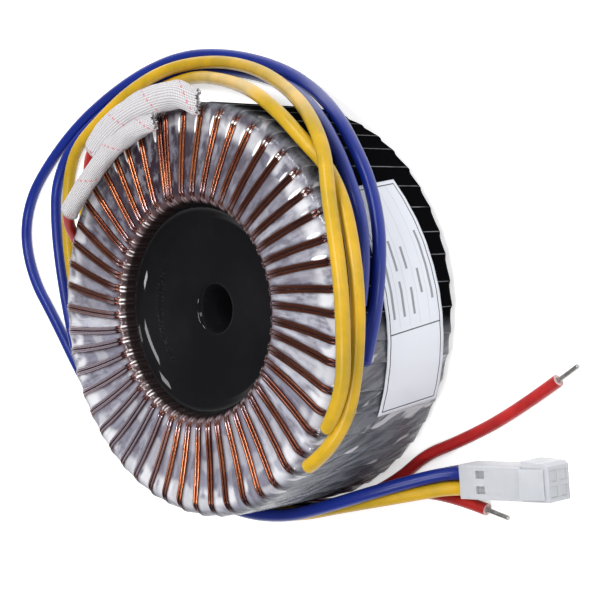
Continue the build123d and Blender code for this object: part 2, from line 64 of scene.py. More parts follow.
# ----------------------------------------------------------------- shading
class Board:
    """Short calls for laying out one node tree."""

    def __init__(self, tree: Tree) -> None:
        """Starts on a tree.

        Args:
            tree: The node tree to add to.
        """
        self.tree = tree

    def add(self, kind: str, inputs: dict[str | int, object] | None = None, **settings: object) -> Node:
        """Adds a node.

        Args:
            kind: The node's type name.
            inputs: Values or output sockets, by input name or index.
            **settings: Properties of the node itself.

        Returns:
            The new node.
        """
        node = self.tree.nodes.new(kind)
        for name, value in settings.items():
            setattr(node, name, value)
        for name, value in (inputs or {}).items():
            if isinstance(value, Socket):
                self.tree.links.new(value, node.inputs[name])
            else:
                node.inputs[name].default_value = value
        return node

    def feed(self, node: Node, source: Socket, *names: str) -> None:
        """Links a socket to inputs of a node."""
        for name in names:
            self.tree.links.new(source, node.inputs[name])

    def math(self, operation: str, *values: object, clamp: bool = False) -> Socket:
        """Returns the output of a Math node on the given values."""
        node = self.add("ShaderNodeMath", dict(enumerate(values)), operation=operation, use_clamp=clamp)
        return node.outputs[0]

    def plus(self, first: object, second: object) -> Socket:
        """Returns a sum."""
        return self.math("ADD", first, second)

    def minus(self, first: object, second: object) -> Socket:
        """Returns a difference."""
        return self.math("SUBTRACT", first, second)

    def times(self, *values: object) -> Socket:
        """Returns the product of all the values."""
        return reduce(lambda first, second: self.math("MULTIPLY", first, second), values)

    def most(self, *values: object) -> Socket:
        """Returns the largest of the values."""
        return reduce(lambda first, second: self.math("MAXIMUM", first, second), values)

    def blend(self, factor: object, first: object, second: object) -> Socket:
        """Returns the colour between two colours."""
        return self.add("ShaderNodeMix", {0: factor, 6: first, 7: second}, data_type="RGBA").outputs[2]

    def span(
        self, value: object, low: float, high: float, out_low: float = 0.0, out_high: float = 1.0
    ) -> Socket:
        """Returns a value moved smoothly from one range to another."""
        limits = {0: value, 1: low, 2: high, 3: out_low, 4: out_high}
        return self.add("ShaderNodeMapRange", limits, interpolation_type="SMOOTHSTEP").outputs[0]

    def noise(self, vector: object, scale: float, detail: float = 3.0, rough: float = 0.5) -> Socket:
        """Returns the value of a noise texture."""
        settings = {"Vector": vector, "Scale": scale, "Detail": detail, "Roughness": rough}
        return self.add("ShaderNodeTexNoise", settings).outputs[0]

    def attribute(self, name: str) -> Node:
        """Returns an Attribute node that reads a piece's own attribute."""
        return self.add("ShaderNodeAttribute", attribute_name=name)

    def mark(self, name: str) -> Socket:
        """Returns the value of one of a piece's own attributes."""
        return self.attribute(name).outputs["Fac"]

    def place(self) -> Socket:
        """Returns the piece's Object coordinates."""
        return self.add("ShaderNodeTexCoord").outputs["Object"]

    def bump(self, shader: Node, height: Socket, strength: float, distance: float, *names: str) -> None:
        """Feeds a bump into a shader.

        Args:
            shader: The shader to feed.
            height: The height of the surface.
            strength: How much the bump counts.
            distance: How far a height of 1 rises, in metres.
            *names: The inputs to feed, or none for the normal alone.
        """
        lift = self.add("ShaderNodeBump", {"Height": height, "Strength": strength, "Distance": distance})
        self.feed(shader, lift.outputs[0], *(names or ("Normal",)))


def shader_group(
    name: str, inputs: dict[str, tuple[str, float]], outputs: dict[str, str]
) -> tuple[Tree, Board, Node, Node]:
    """Starts a shader node group.

    Args:
        name: The group's name.
        inputs: Socket type and default by input name.
        outputs: Socket type by output name.

    Returns:
        The group, its board, its input node and its output node.
    """
    tree = bpy.data.node_groups.new(name, "ShaderNodeTree")
    for label, (kind, value) in inputs.items():
        socket = tree.interface.new_socket(name=label, in_out="INPUT", socket_type=kind)
        if kind == "NodeSocketFloat":
            socket.default_value = value
    for label, kind in outputs.items():
        tree.interface.new_socket(name=label, in_out="OUTPUT", socket_type=kind)
    board = Board(tree)
    return tree, board, board.add("NodeGroupInput"), board.add("NodeGroupOutput")


def handling_group() -> Tree:
    """Builds the effect of handling: cloudy roughness and a faint uneven surface.

    Returns:
        The node group, with the outputs Roughness and Height.
    """
    tree, board, start, end = shader_group(
        "Handling",
        {
            "Vector": ("NodeSocketVector", 0.0),
            "Scale": ("NodeSocketFloat", 120.0),
            "Roughness": ("NodeSocketFloat", 0.3),
            "Spread": ("NodeSocketFloat", 0.1),
        },
        {"Roughness": "NodeSocketFloat", "Height": "NodeSocketFloat"},
    )
    vector, scale, roughness, spread = start.outputs[:4]
    cloud = board.add("ShaderNodeTexNoise", {"Vector": vector, "Scale": scale, "Detail": 4.0}).outputs[0]
    swing = board.times(board.minus(cloud, 0.5), spread)
    tree.links.new(board.math("ADD", roughness, swing, clamp=True), end.inputs[0])
    tree.links.new(cloud, end.inputs[1])
    return tree


HANDLING = handling_group()


def new_material(name: str, fixed: dict[str, object]) -> tuple[Material, Board, Node]:
    """Starts a material.

    Args:
        name: The material's name.
        fixed: Constants for the shader's own inputs.

    Returns:
        The material, its board and its Principled shader.
    """
    material = bpy.data.materials.new(name)
    material.use_nodes = True
    shader = material.node_tree.nodes["Principled BSDF"]
    for label, value in fixed.items():
        shader.inputs[label].default_value = value
    return material, Board(material.node_tree), shader


def handled(
    board: Board, shader: Node, roughness: float, spread: float, scale: float, bump: float
) -> None:
    """Gives a shader the roughness and surface of a handled piece.

    Args:
        board: The material's board.
        shader: Its Principled shader.
        roughness: Middle roughness.
        spread: How far roughness swings.
        scale: Size of the clouds.
        bump: Height of the unevenness in metres.
    """
    inputs = {0: board.place(), 1: scale, 2: roughness, 3: spread}
    group = board.add("ShaderNodeGroup", inputs, node_tree=HANDLING)
    board.feed(shader, group.outputs[0], "Roughness")
    board.bump(shader, group.outputs[1], 1.0, bump)


@dataclass(frozen=True)
class MouldedFinish:
    """A plain coloured finish with clouds in its colour and gloss."""

    name: str
    colour: Colour
    shade: Colour
    roughness: float = 0.35
    metallic: float = 0.0
    specular: float = 0.5
    subsurface: float = 0.0
    scale: float = 60.0
    bump: float = 0.00003

    def material(self) -> Material:
        """Builds the material.

        Returns:
            A material that varies between the colour and its shade.
        """
        fixed = {"Metallic": self.metallic, "Specular IOR Level": self.specular, "Coat Roughness": 0.15}
        if self.subsurface:
            fixed |= {
                "Subsurface Weight": self.subsurface,
                "Subsurface Radius": (1.0, 1.0, 1.0),
                "Subsurface Scale": 0.0015,
            }
        material, board, shader = new_material(self.name, fixed)
        cloud = board.noise(board.place(), self.scale, 4.0, 0.6)
        board.feed(shader, board.blend(board.span(cloud, 0.35, 0.7), self.colour, self.shade), "Base Color")
        handled(board, shader, self.roughness, 0.12, self.scale * 3, self.bump)
        return material


@dataclass(frozen=True)
class EnamelFinish:
    """Enamelled copper wire: orange, with painted shade along its flanks and at the sides of the ring, a
    painted reflection of the film and painted glints.
    """

    name: str = "enamelled_copper"
    # The last three colours are painted: shade on the flanks and sides, a reflection of the film, and a glint.
    lit: Colour = (0.74, 0.245, 0.105, 1.0)
    dull: Colour = (0.22, 0.05, 0.028, 1.0)
    deep: Colour = (0.030, 0.006, 0.008, 1.0)
    film_reflection_colour: Colour = (0.58, 0.53, 0.64, 1.0)
    glint: Colour = (0.95, 0.88, 0.86, 1.0)

    def material(self) -> Material:
        """Builds the material from the wires' own attributes.

        Returns:
            A metal wire colour under a thin clear coat.
        """
        fixed = {"Metallic": 0.82, "Specular IOR Level": 0.1, "Coat Weight": 0.22, "Coat Roughness": 0.08}
        material, board, shader = new_material(self.name, fixed)
        flank, shade, film_reflection, hook = (board.mark(name) for name in WIRE_MARKS)
        streak = board.noise(board.place(), 70.0, 3.0, 0.6)
        # Painted reflection of the film on the tops of the wires.
        film = board.times(film_reflection, board.span(flank, 0.62, 0.30))
        # Painted shade along the wires' flanks and on the shaded sides of the ring.
        depth = board.most(
            board.times(board.span(flank, 0.05, 0.45), board.span(streak, 0.2, 0.8, 0.8, 1.0)),
            board.times(shade, board.span(streak, 0.35, 0.7, 1.0, 0.72)),
        )
        depth = board.times(depth, board.span(film, 0.0, 1.0, 1.0, 0.35))
        colour = board.blend(board.span(streak, 0.42, 0.64, 0.0, 0.7), self.lit, self.dull)
        colour = board.blend(film, colour, self.film_reflection_colour)
        colour = board.blend(depth, colour, self.deep)
        # Painted glints at the outer bend.
        board.feed(shader, board.blend(board.span(hook, 0.35, 0.75), colour, self.glint), "Base Color")
        handled(board, shader, 0.24, 0.12, 400.0, 0.000002)
        return material


@dataclass(frozen=True)
class WrapFinish:
    """Clear film over the windings, near-black round parts of the rim, with painted shade, shadows, glare and
    glints.
    """

    name: str = "clear_wrap"
    # Of these colours, white, bright, spark and glint are painted highlights, and flank, gloomy, gully and
    # depth are painted shade.
    pale: Colour = (0.41, 0.42, 0.485, 1.0)
    dim: Colour = (0.20, 0.20, 0.255, 1.0)
    white: Colour = (0.66, 0.66, 0.69, 1.0)
    flank: Colour = (0.030, 0.014, 0.018, 1.0)
    mauve: Colour = (0.125, 0.095, 0.120, 1.0)
    violet: Colour = (0.075, 0.062, 0.088, 1.0)
    gloomy: Colour = (0.026, 0.017, 0.025, 1.0)
    bright: Colour = (0.54, 0.54, 0.57, 1.0)
    spark: Colour = (0.93, 0.93, 0.95, 1.0)
    gully: Colour = (0.085, 0.050, 0.054, 1.0)
    crest: Colour = (0.34, 0.25, 0.26, 1.0)
    depth: Colour = (0.014, 0.009, 0.009, 1.0)
    glint: Colour = (0.90, 0.86, 0.86, 1.0)
    strip: Colour = (0.0035, 0.0035, 0.004, 1.0)
    grey: Colour = (0.190, 0.200, 0.228, 1.0)
    murk: Colour = (0.090, 0.095, 0.114, 1.0)
    crease: Colour = (0.34, 0.35, 0.37, 1.0)

    @staticmethod
    def grain(
        board: Board,
        sheet: Socket,
        wide: float,
        long: float,
        scale: float,
        detail: float = 2.0,
        rough: float = 0.5,
    ) -> Socket:
        """Returns noise in the film's own coordinates, stretched along the turns."""
        drawn = board.add("ShaderNodeVectorMath", {0: sheet, 1: (wide, long, 1.0)}, operation="MULTIPLY")
        return board.noise(drawn.outputs[0], scale, detail, rough)

    def panel(
        self, board: Board, mark: dict[str, Socket], sheet: Socket, streaks: Socket, blots: Socket
    ) -> Socket:
        """Colours the film between the pairs on the face.

        Args:
            board: The material's board.
            mark: The film's attributes by name.
            sheet: The film's own coordinates.
            streaks: Noise drawn out along the turns.
            blots: Rounder noise.

        Returns:
            The colour, with painted glare and glints, painted shade on the upper left and painted shadows
            beside the pairs.
        """
        tip, gloom = mark["tip"], mark["gloom"]
        colour = board.blend(mark["tone"], self.dim, self.pale)
        colour = board.blend(board.span(streaks, 0.40, 0.70, 0.0, 0.55), colour, self.mauve)
        colour = board.blend(board.span(blots, 0.50, 0.34, 0.0, 0.5), colour, self.violet)
        # Painted shade, strongest on the upper left of the face.
        shaded = board.times(gloom, board.span(blots, 0.62, 0.44, 0.58, 1.0))
        colour = board.blend(shaded, colour, self.gloomy)
        # Painted glare in patches near the outer ends of the pairs.
        glare_patch = board.span(self.grain(board, sheet, 0.22, 0.30, 0.62, 0.0), 0.50, 0.62)
        glare_patch = board.times(glare_patch, board.span(board.minus(tip, gloom), -0.6, 0.6, 0.0, 0.75))
        colour = board.blend(glare_patch, colour, self.bright)
        # Painted glare in streaks near the outer ends, weaker where the painted shade is.
        sheen = board.plus(self.grain(board, sheet, 0.35, 0.10, 0.8), board.times(blots, 0.25))
        glare = board.times(
            board.span(sheen, 0.56, 0.70),
            board.span(tip, 0.05, 0.7),
            board.minus(0.85, board.times(gloom, 0.6)),
        )
        colour = board.blend(glare, colour, self.white)
        # Painted shadow beside the pairs.
        shadow = board.math("POWER", mark["edge"], board.span(streaks, 0.3, 0.7, 2.4, 1.1))
        colour = board.blend(shadow, colour, self.flank)
        # Painted glints beside the pairs.
        return board.blend(board.span(mark["spark"], 0.30, 0.42), colour, self.spark)

    def fold(self, board: Board, mark: dict[str, Socket], sheet: Socket) -> Socket:
        """Colours the film where it is drawn into the bore.

        Args:
            board: The material's board.
            mark: The film's attributes by name.
            sheet: The film's own coordinates.

        Returns:
            The colour of the ridges, with painted shade in the gullies and down the bore, and painted glints
            where they turn down.
        """
        bore, ridge = mark["bore"], mark["ridge"]
        # Painted shade in the gullies between the ridges, and darker still down the bore.
        colour = board.blend(ridge, self.gully, self.crest)
        colour = board.blend(board.span(bore, 0.45, 0.80, 0.0, 0.94), colour, self.depth)
        # Painted glints where the ridges turn down, on the left of the ring.
        glint = board.times(
            board.span(bore, 0.22, 0.42),
            board.span(bore, 0.78, 0.58),
            board.span(ridge, 0.30, 0.60),
            board.span(self.grain(board, sheet, 0.8, 0.3, 1.3, 1.0), 0.42, 0.52),
            mark["glow"],
        )
        return board.blend(glint, colour, self.glint)

    def band(
        self, board: Board, mark: dict[str, Socket], slant: Socket, wrinkle: Socket, streaks: Socket
    ) -> Socket:
        """Colours the film round the rim.

        Args:
            board: The material's board.
            mark: The film's attributes by name.
            slant: The film's own coordinates, turned a little.
            wrinkle: The height of the film's crumples.
            streaks: Noise drawn out along the turns.

        Returns:
            Grey crumpled film with painted white glints, near-black where the rim is dark, with pale laps.
        """
        colour = board.blend(board.span(wrinkle, 0.40, 0.62), self.grey, self.murk)
        # Painted white glints on the crumples.
        crumples = board.span(self.grain(board, slant, 0.8, 0.2, 0.4), 0.60, 0.66, 0.0, 0.85)
        colour = board.blend(crumples, colour, self.white)
        colour = board.blend(mark["dark"], colour, self.strip)
        lap = board.times(mark["crease"], board.span(streaks, 0.35, 0.6, 0.15, 0.9))
        return board.blend(lap, colour, self.crease)

    def material(self) -> Material:
        """Builds the material from the wrap's own attributes.

        Returns:
            A material for the face, the bore and the rim.
        """
        material, board, shader = new_material(self.name, {"Specular IOR Level": 0.0, "Coat Roughness": 0.08})
        mark = {name: board.mark(name) for name in WRAP_MARKS}
        sheet = board.attribute("lay").outputs["Vector"]
        turned = board.add("ShaderNodeVectorRotate", {"Vector": sheet, "Angle": 0.35}, rotation_type="Z_AXIS")
        slant = turned.outputs[0]
        streaks = self.grain(board, sheet, 1.0, 0.14, 1.0, 3.0, 0.6)
        blots = self.grain(board, sheet, 0.8, 0.42, 0.55, 3.0, 0.6)
        wrinkle = self.grain(board, slant, 1.0, 0.16, 0.55, 4.0, 0.55)
        panel = self.panel(board, mark, sheet, streaks, blots)
        face = board.blend(board.span(mark["bore"], 0.0, 0.45), panel, self.fold(board, mark, sheet))
        band = self.band(board, mark, slant, wrinkle, streaks)
        board.feed(shader, board.blend(board.span(mark["rim"], 0.25, 0.95), face, band), "Base Color")
        gloss = board.minus(board.times(mark["rim"], mark["dark"], -0.83), board.times(mark["gloom"], 0.55))
        board.feed(shader, board.math("ADD", gloss, 0.85, clamp=True), "Coat Weight")
        rough = board.plus(board.span(blots, 0.3, 0.7, 0.26, 0.42), board.times(streaks, 0.08))
        board.feed(shader, rough, "Roughness")
        fine = board.times(self.grain(board, sheet, 1.0, 0.10, 1.8), 0.25)
        crumple = board.times(wrinkle, board.minus(1.0, mark["dark"]), board.times(mark["rim"], 3.2))
        board.bump(shader, board.plus(fine, crumple), 0.7, 0.0005, "Normal", "Coat Normal")
        return material


@dataclass(frozen=True)
class LabelFinish:
    """A white paper label with a printed frame, rules and plain bars."""

    name: str = "plain_label"
    length: float = 58.0
    width: float = 20.6
    margin: float = 1.15
    divider: float = -8.0
    line: float = 0.16
    rule_heights: tuple[float, ...] = (5.6, 1.9, -1.8, -5.5)
    rule_line: float = 0.09
    bar_line: float = 0.42
    # Height, first end and last end of each bar.
    bar_places: tuple[tuple[float, float, float], ...] = (
        (7.4, -4.5, 9.0), (3.7, -4.5, 4.0), (3.7, 6.5, 14.0), (0.0, -4.5, 2.0),
        (0.0, 6.5, 12.0), (-3.7, 0.0, 6.0), (-7.3, -2.0, 15.0),
    )
    paper: Colour = (0.70, 0.73, 0.80, 1.0)
    haze: Colour = (0.70, 0.71, 0.76, 1.0)
    ink: Colour = (0.02, 0.02, 0.025, 1.0)
    rule: Colour = (0.45, 0.46, 0.50, 1.0)
    bar: Colour = (0.10, 0.10, 0.12, 1.0)

    def material(self) -> Material:
        """Builds the material from the label's own millimetre coordinates.

        Returns:
            The printed paper.
        """
        material, board, shader = new_material(self.name, {})
        place = board.add("ShaderNodeSeparateXYZ", {0: board.attribute("sheet").outputs["Vector"]})
        x, y = place.outputs[0], place.outputs[1]

        def near(value: object, line: float, half: float) -> Socket:
            """Returns 1 where a value lies within half a width of a line."""
            return board.math("LESS_THAN", board.math("ABSOLUTE", board.minus(value, line)), half)

        inset = board.math(
            "MINIMUM",
            board.minus(self.length / 2, board.math("ABSOLUTE", x)),
            board.minus(self.width / 2, board.math("ABSOLUTE", y)),
        )
        within = board.math("GREATER_THAN", inset, self.margin + 0.05)
        divider = board.times(near(x, self.divider, self.line), within)
        ink = board.most(near(inset, self.margin, self.line), divider)
        printed = board.times(board.math("GREATER_THAN", x, self.divider + 1.0), within)
        rules = board.most(*(near(y, height, self.rule_line) for height in self.rule_heights))
        bars = board.most(*(
            board.times(near(y, height, self.bar_line), near(x, (first + last) / 2, (last - first) / 2))
            for height, first, last in self.bar_places
        ))
        cloud = board.span(board.noise(board.place(), 160.0, 4.0, 0.6), 0.3, 0.7, 0.0, 0.25)
        colour = board.blend(cloud, self.paper, self.haze)
        colour = board.blend(board.times(rules, printed, 0.6), colour, self.rule)
        colour = board.blend(board.times(bars, printed, 0.78), colour, self.bar)
        board.feed(shader, board.blend(ink, colour, self.ink), "Base Color")
        handled(board, shader, 0.35, 0.1, 150.0, 0.00003)
        return material


@dataclass(frozen=True)
class BraidFinish:
    """White braided glass sleeve with a pink tracer thread."""

    name: str = "white_braid"
    strands: float = 6.0
    tracer_pitch: float = 14.0
    tracer_lean: float = 0.9
    tracer_half: float = 0.022
    tracer_dashes: float = 2.6
    thread: Colour = (0.60, 0.585, 0.605, 1.0)
    gap: Colour = (0.28, 0.26, 0.27, 1.0)
    tracer: Colour = (0.62, 0.10, 0.14, 1.0)

    def material(self) -> Material:
        """Builds the weave from the sleeve's own coordinates along and around it.

        Returns:
            The braid.
        """
        material, board, shader = new_material(self.name, {"Roughness": 0.62, "Sheen Weight": 0.25})
        weave = board.add("ShaderNodeSeparateXYZ", {0: board.attribute("weave").outputs["Vector"]})
        along, around = weave.outputs[0], weave.outputs[1]
        left = board.math("SINE", board.times(board.plus(along, around), self.strands))
        right = board.math("SINE", board.times(board.minus(along, around), self.strands))
        height = board.times(board.plus(board.times(left, right), 1.0), 0.5)
        colour = board.blend(board.span(height, 0.1, 0.6), self.gap, self.thread)
        helix = board.plus(along, board.times(around, self.tracer_lean))
        turn = board.math("FRACT", board.math("DIVIDE", helix, self.tracer_pitch))
        line = board.math("LESS_THAN", board.math("ABSOLUTE", board.minus(turn, 0.5)), self.tracer_half)
        wave = board.math("SINE", board.times(board.minus(along, around), self.tracer_dashes))
        dash = board.math("GREATER_THAN", wave, 0.1)
        board.feed(shader, board.blend(board.times(line, dash, 0.8), colour, self.tracer), "Base Color")
        board.bump(shader, height, 0.8, 0.00025)
        return material


class LeadColour(Enum):
    """Colours of the hook-up leads."""

    YELLOW = MouldedFinish(
        "yellow_pvc", (0.400, 0.258, 0.010, 1.0), (0.60, 0.35, 0.012, 1.0), roughness=0.36, specular=0.35
    )
    BLUE = MouldedFinish(
        "blue_pvc", (0.006, 0.021, 0.215, 1.0), (0.007, 0.018, 0.18, 1.0), roughness=0.34, specular=0.35
    )
    RED = MouldedFinish(
        "red_pvc", (0.235, 0.007, 0.007, 1.0), (0.44, 0.016, 0.016, 1.0), roughness=0.38, specular=0.4
    )


# ------------------------------------------------------------------ meshes
def link(piece: Object) -> Object:
    """Puts an object in the scene and returns it."""
    bpy.context.scene.collection.objects.link(piece)
    return piece


def mesh_piece(
    name: str,
    vertices: Iterable[Sequence[float]],
    faces: Iterable[Sequence[int]],
    material: Material,
    smooth: bool = True,
) -> Object:
    """Makes a mesh object.

    Args:
        name: The piece's name.
        vertices: Points in metres.
        faces: Vertex indices of each face.
        material: Its material.
        smooth: Whether faces shade smoothly.

    Returns:
        The linked object.
    """
    mesh = bpy.data.meshes.new(name)
    mesh.from_pydata([tuple(point) for point in vertices], [], [tuple(face) for face in faces])
    mesh.validate()
    mesh.update()
    mesh.materials.append(material)
    mesh.shade_smooth() if smooth else mesh.shade_flat()
    return link(bpy.data.objects.new(name, mesh))


def set_attribute(piece: Object, name: str, values: np.ndarray) -> None:
    """Stores a point attribute.

    Args:
        piece: The mesh object.
        name: The attribute's name.
        values: One number or one triple for each vertex.
    """
    kind, key = ("FLOAT", "value") if values.ndim == 1 else ("FLOAT_VECTOR", "vector")
    attribute = piece.data.attributes.new(name, kind, "POINT")
    attribute.data.foreach_set(key, values.astype(np.float32).ravel())


def ring_faces(rings: int, around: int, first: int = 0, closed: bool = False) -> list[tuple[int, ...]]:
    """Joins rings of points.

    Args:
        rings: How many rings there are.
        around: Points in each ring.
        first: Index of the first point.
        closed: Whether the last ring joins the first.

    Returns:
        The vertex indices of each face.
    """
    faces = []
    for ring in range(rings if closed else rings - 1):
        low, high = first + ring * around, first + (ring + 1) % rings * around
        faces += [(low + a, high + a, high + (a + 1) % around, low + (a + 1) % around) for a in range(around)]
    return faces


def ramp(value: np.ndarray, start: float, end: float) -> np.ndarray:
    """Returns how far values have come from a start to an end, from 0 to 1."""
    return np.clip((value - start) / (end - start), 0.0, 1.0)


def eased(share: np.ndarray | float) -> np.ndarray | float:
    """Returns shares from 0 to 1, eased at both ends."""
    return share * share * (3 - 2 * share)


def bell(value: np.ndarray, middle: float, width: float, power: int = 2) -> np.ndarray:
    """Returns a bump that is 1 at the middle and falls off over a width."""
    return np.exp(-(((value - middle) / width) ** power))


def tent(value: np.ndarray, middle: float, width: float) -> np.ndarray:
    """Returns a straight-sided bump that is 1 at the middle and 0 past a width."""
    return np.maximum(0.0, 1 - np.abs(value - middle) / width)


def sideways(ahead: Vector) -> tuple[Vector, Vector]:
    """Returns two directions at right angles to a direction, the first of them level."""
    side = ahead.cross(Vector((0, 0, 1))).normalized()
    return side, side.cross(ahead).normalized()


def lathe(name: str, profile: Sequence[tuple[float, float]], segments: int, material: Material) -> Object:
    """Turns a closed profile about the Z axis.

    Args:
        name: The piece's name.
        profile: Radius and height in millimetres, anticlockwise in the half plane.
        segments: Steps round the axis.
        material: Its material.

    Returns:
        The piece.
    """
    vertices: list[Point] = []
    for step in range(segments):
        angle = 2 * math.pi * step / segments
        vertices += [(r * MM * math.cos(angle), r * MM * math.sin(angle), z * MM) for r, z in profile]
    return mesh_piece(name, vertices, ring_faces(segments, len(profile), closed=True), material)


def smooth_line(points: Sequence[tuple[float, float]], steps: int = 5) -> list[tuple[float, float]]:
    """Rounds a chain of points with a Catmull-Rom curve.

    Args:
        points: Radius and height of each point.
        steps: How many steps each stretch gets.

    Returns:
        The finer chain.
    """
    fine: list[tuple[float, float]] = []
    ends = [points[0], *points, points[-1]]
    for a, b, c, d in zip(ends, ends[1:], ends[2:], ends[3:]):
        for step in range(steps):
            t = step / steps
            square, cube = t * t, t**3
            pull = (-t + 2 * square - cube, 2 - 5 * square + 3 * cube, t + 4 * square - 3 * cube, cube - square)
            fine.append(tuple(0.5 * sum(w * p[i] for w, p in zip(pull, (a, b, c, d))) for i in (0, 1)))
    return [*fine, points[-1]]


def dress(node: str, material: Material) -> Object:
    """Gives a CAD node its material.

    Args:
        node: The node's name.
        material: The material to put on it.

    Returns:
        The node's object.
    """
    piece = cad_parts[node]
    piece.data.materials.clear()
    piece.data.materials.append(material)
    log.info("%s: %s", node, material.name)
    return piece


# ---------------------------------------------------------------- windings
@dataclass
class OuterWinding:
    """The outer secondary: pairs of enamelled wires laid side by side."""

    pairs: int = 52
    wire: float = 0.90
    bore_radius: float = 27.55
    rim_radius: float = 51.25
    top: float = 42.30
    bottom: float = 0.72
    bore_bend: float = 2.9
    rim_bend: float = 3.2
    bend_steps: int = 7
    spacing: float = 1.04
    lean: float = -3.46
    lean_from: float = 29.5
    lean_to: float = 48.0
    sway: float = 0.22
    crowded: float = 100.0
    crowding: float = 1.9
    slack: float = 0.55
    seed: int = 7
    azimuths: list[float] = field(default_factory=list)

    def __post_init__(self) -> None:
        """Settles where each pair lies, with the unevenness of hand winding."""
        chance = random.Random(self.seed)
        pitch = 360 / self.pairs
        for index in range(self.pairs):
            angle = index * pitch
            pull = (self.crowded - angle + 180) % 360 - 180
            shift = math.copysign(self.crowding, pull) if 0 < abs(pull) < pitch else 0.0
            self.azimuths.append(angle + shift + chance.uniform(-self.slack, self.slack))

    def leaning(self, radius: float) -> float:
        """Returns how far round a pair has drifted at a radius, in degrees."""
        share = (radius - self.lean_from) / (self.lean_to - self.lean_from)
        return self.lean * min(max(share, 0.0), 1.0)

    def section(self) -> list[tuple[float, float, float]]:
        """Lays out one turn.

        Returns:
            Radius, height and drift in degrees along the turn.
        """
        chain = [(self.bore_radius, 14.0, 0.0), (self.bore_radius, 30.0, 0.0)]

        def bend(
            radius: float, height: float, size: float, start: float, drift: Callable[[float], float]
        ) -> None:
            """Adds a quarter bend to the turn.

            Args:
                radius: Where the bend's centre lies from the axis.
                height: The centre's height.
                size: The bend's own radius.
                start: The angle it starts from, in degrees.
                drift: Gives the drift at a radius.
            """
            for step in range(self.bend_steps + 1):
                angle = math.radians(start - 90 * step / self.bend_steps)
                r = radius + size * math.cos(angle)
                chain.append((r, height + size * math.sin(angle), drift(r)))

        def returning(radius: float) -> float:
            """Returns the drift at a radius on the way back along the underside."""
            return 2 * self.lean - self.leaning(radius)

        b, r = self.bore_bend, self.rim_bend
        bend(self.bore_radius + b, self.top - b, b, 180, self.leaning)
        chain.extend((radius, self.top, self.leaning(radius)) for radius in (33.0, 36.5, 40.0, 44.0))
        bend(self.rim_radius - r, self.top - r, r, 90, self.leaning)
        chain.append((self.rim_radius, 21.5, self.lean))
        bend(self.rim_radius - r, self.bottom + r, r, 0, returning)
        chain.extend((radius, self.bottom, returning(radius)) for radius in (44.0, 38.0, 33.0))
        bend(self.bore_radius + b, self.bottom + b, b, -90, returning)
        chain.append((self.bore_radius, 12.0, 2 * self.lean))
        return chain

    def turn(self) -> Object:
        """Makes the pair of centre lines that is repeated round the core.

        Returns:
            The linked curve object.
        """
        curve = bpy.data.curves.new("turn", "CURVE")
        curve.dimensions = "3D"
        for side in (-0.5, 0.5):
            chain = self.section()
            spline = curve.splines.new("POLY")
            spline.points.add(len(chain) - 1)
            for point, (radius, height, drift) in zip(spline.points, chain):
                angle = math.radians(drift) + side * self.spacing / radius
                point.co = (radius * MM * math.cos(angle), radius * MM * math.sin(angle), height * MM, 1.0)
        return link(bpy.data.objects.new("turn", curve))

    def tree(self) -> Tree:
        """Builds the tree that repeats the turn at each pair's place.

        Returns:
            A Geometry Nodes group.
        """
        tree = bpy.data.node_groups.new("Winding", "GeometryNodeTree")
        for label, kind in (
            ("Places", "NodeSocketGeometry"),
            ("Turn", "NodeSocketObject"),
            ("Wire Radius", "NodeSocketFloat"),
            ("Sway", "NodeSocketFloat"),
            ("Enamel", "NodeSocketMaterial"),
        ):
            tree.interface.new_socket(name=label, in_out="INPUT", socket_type=kind)
        tree.interface.new_socket(name="Winding", in_out="OUTPUT", socket_type="NodeSocketGeometry")
        board = Board(tree)
        start, end = board.add("NodeGroupInput"), board.add("NodeGroupOutput")
        turn = board.add("GeometryNodeObjectInfo", {"Object": start.outputs["Turn"]})
        azimuth = board.add("GeometryNodeInputNamedAttribute", {"Name": "azimuth"}, data_type="FLOAT")
        spin = board.add("ShaderNodeCombineXYZ", {"Z": azimuth.outputs["Attribute"]})
        copies = board.add("GeometryNodeInstanceOnPoints", {
            "Points": start.outputs["Places"],
            "Instance": turn.outputs["Geometry"],
            "Rotation": spin.outputs[0],
        })
        real = board.add("GeometryNodeRealizeInstances", {"Geometry": copies.outputs[0]})
        wave = board.add("ShaderNodeTexNoise", {"Scale": 55.0, "Detail": 1.0})
        middle = {0: wave.outputs["Color"], 1: (0.5, 0.5, 0.5)}
        centred = board.add("ShaderNodeVectorMath", middle, operation="SUBTRACT")
        scaled = {0: centred.outputs[0], "Scale": start.outputs["Sway"]}
        sway = board.add("ShaderNodeVectorMath", scaled, operation="SCALE")
        moved = board.add("GeometryNodeSetPosition", {"Geometry": real.outputs[0], "Offset": sway.outputs[0]})
        circle = {"Resolution": 8, "Radius": start.outputs["Wire Radius"]}
        ring = board.add("GeometryNodeCurvePrimitiveCircle", circle)
        wires = {"Curve": moved.outputs[0], "Profile Curve": ring.outputs[0], "Fill Caps": True}
        tube = board.add("GeometryNodeCurveToMesh", wires)
        smooth = board.add("GeometryNodeSetShadeSmooth", {"Geometry": tube.outputs[0]})
        whole = board.add("GeometryNodeRealizeInstances", {"Geometry": smooth.outputs[0]})
        coat = {"Geometry": whole.outputs[0], "Material": start.outputs["Enamel"]}
        coated = board.add("GeometryNodeSetMaterial", coat)
        tree.links.new(coated.outputs[0], end.inputs[0])
        return tree

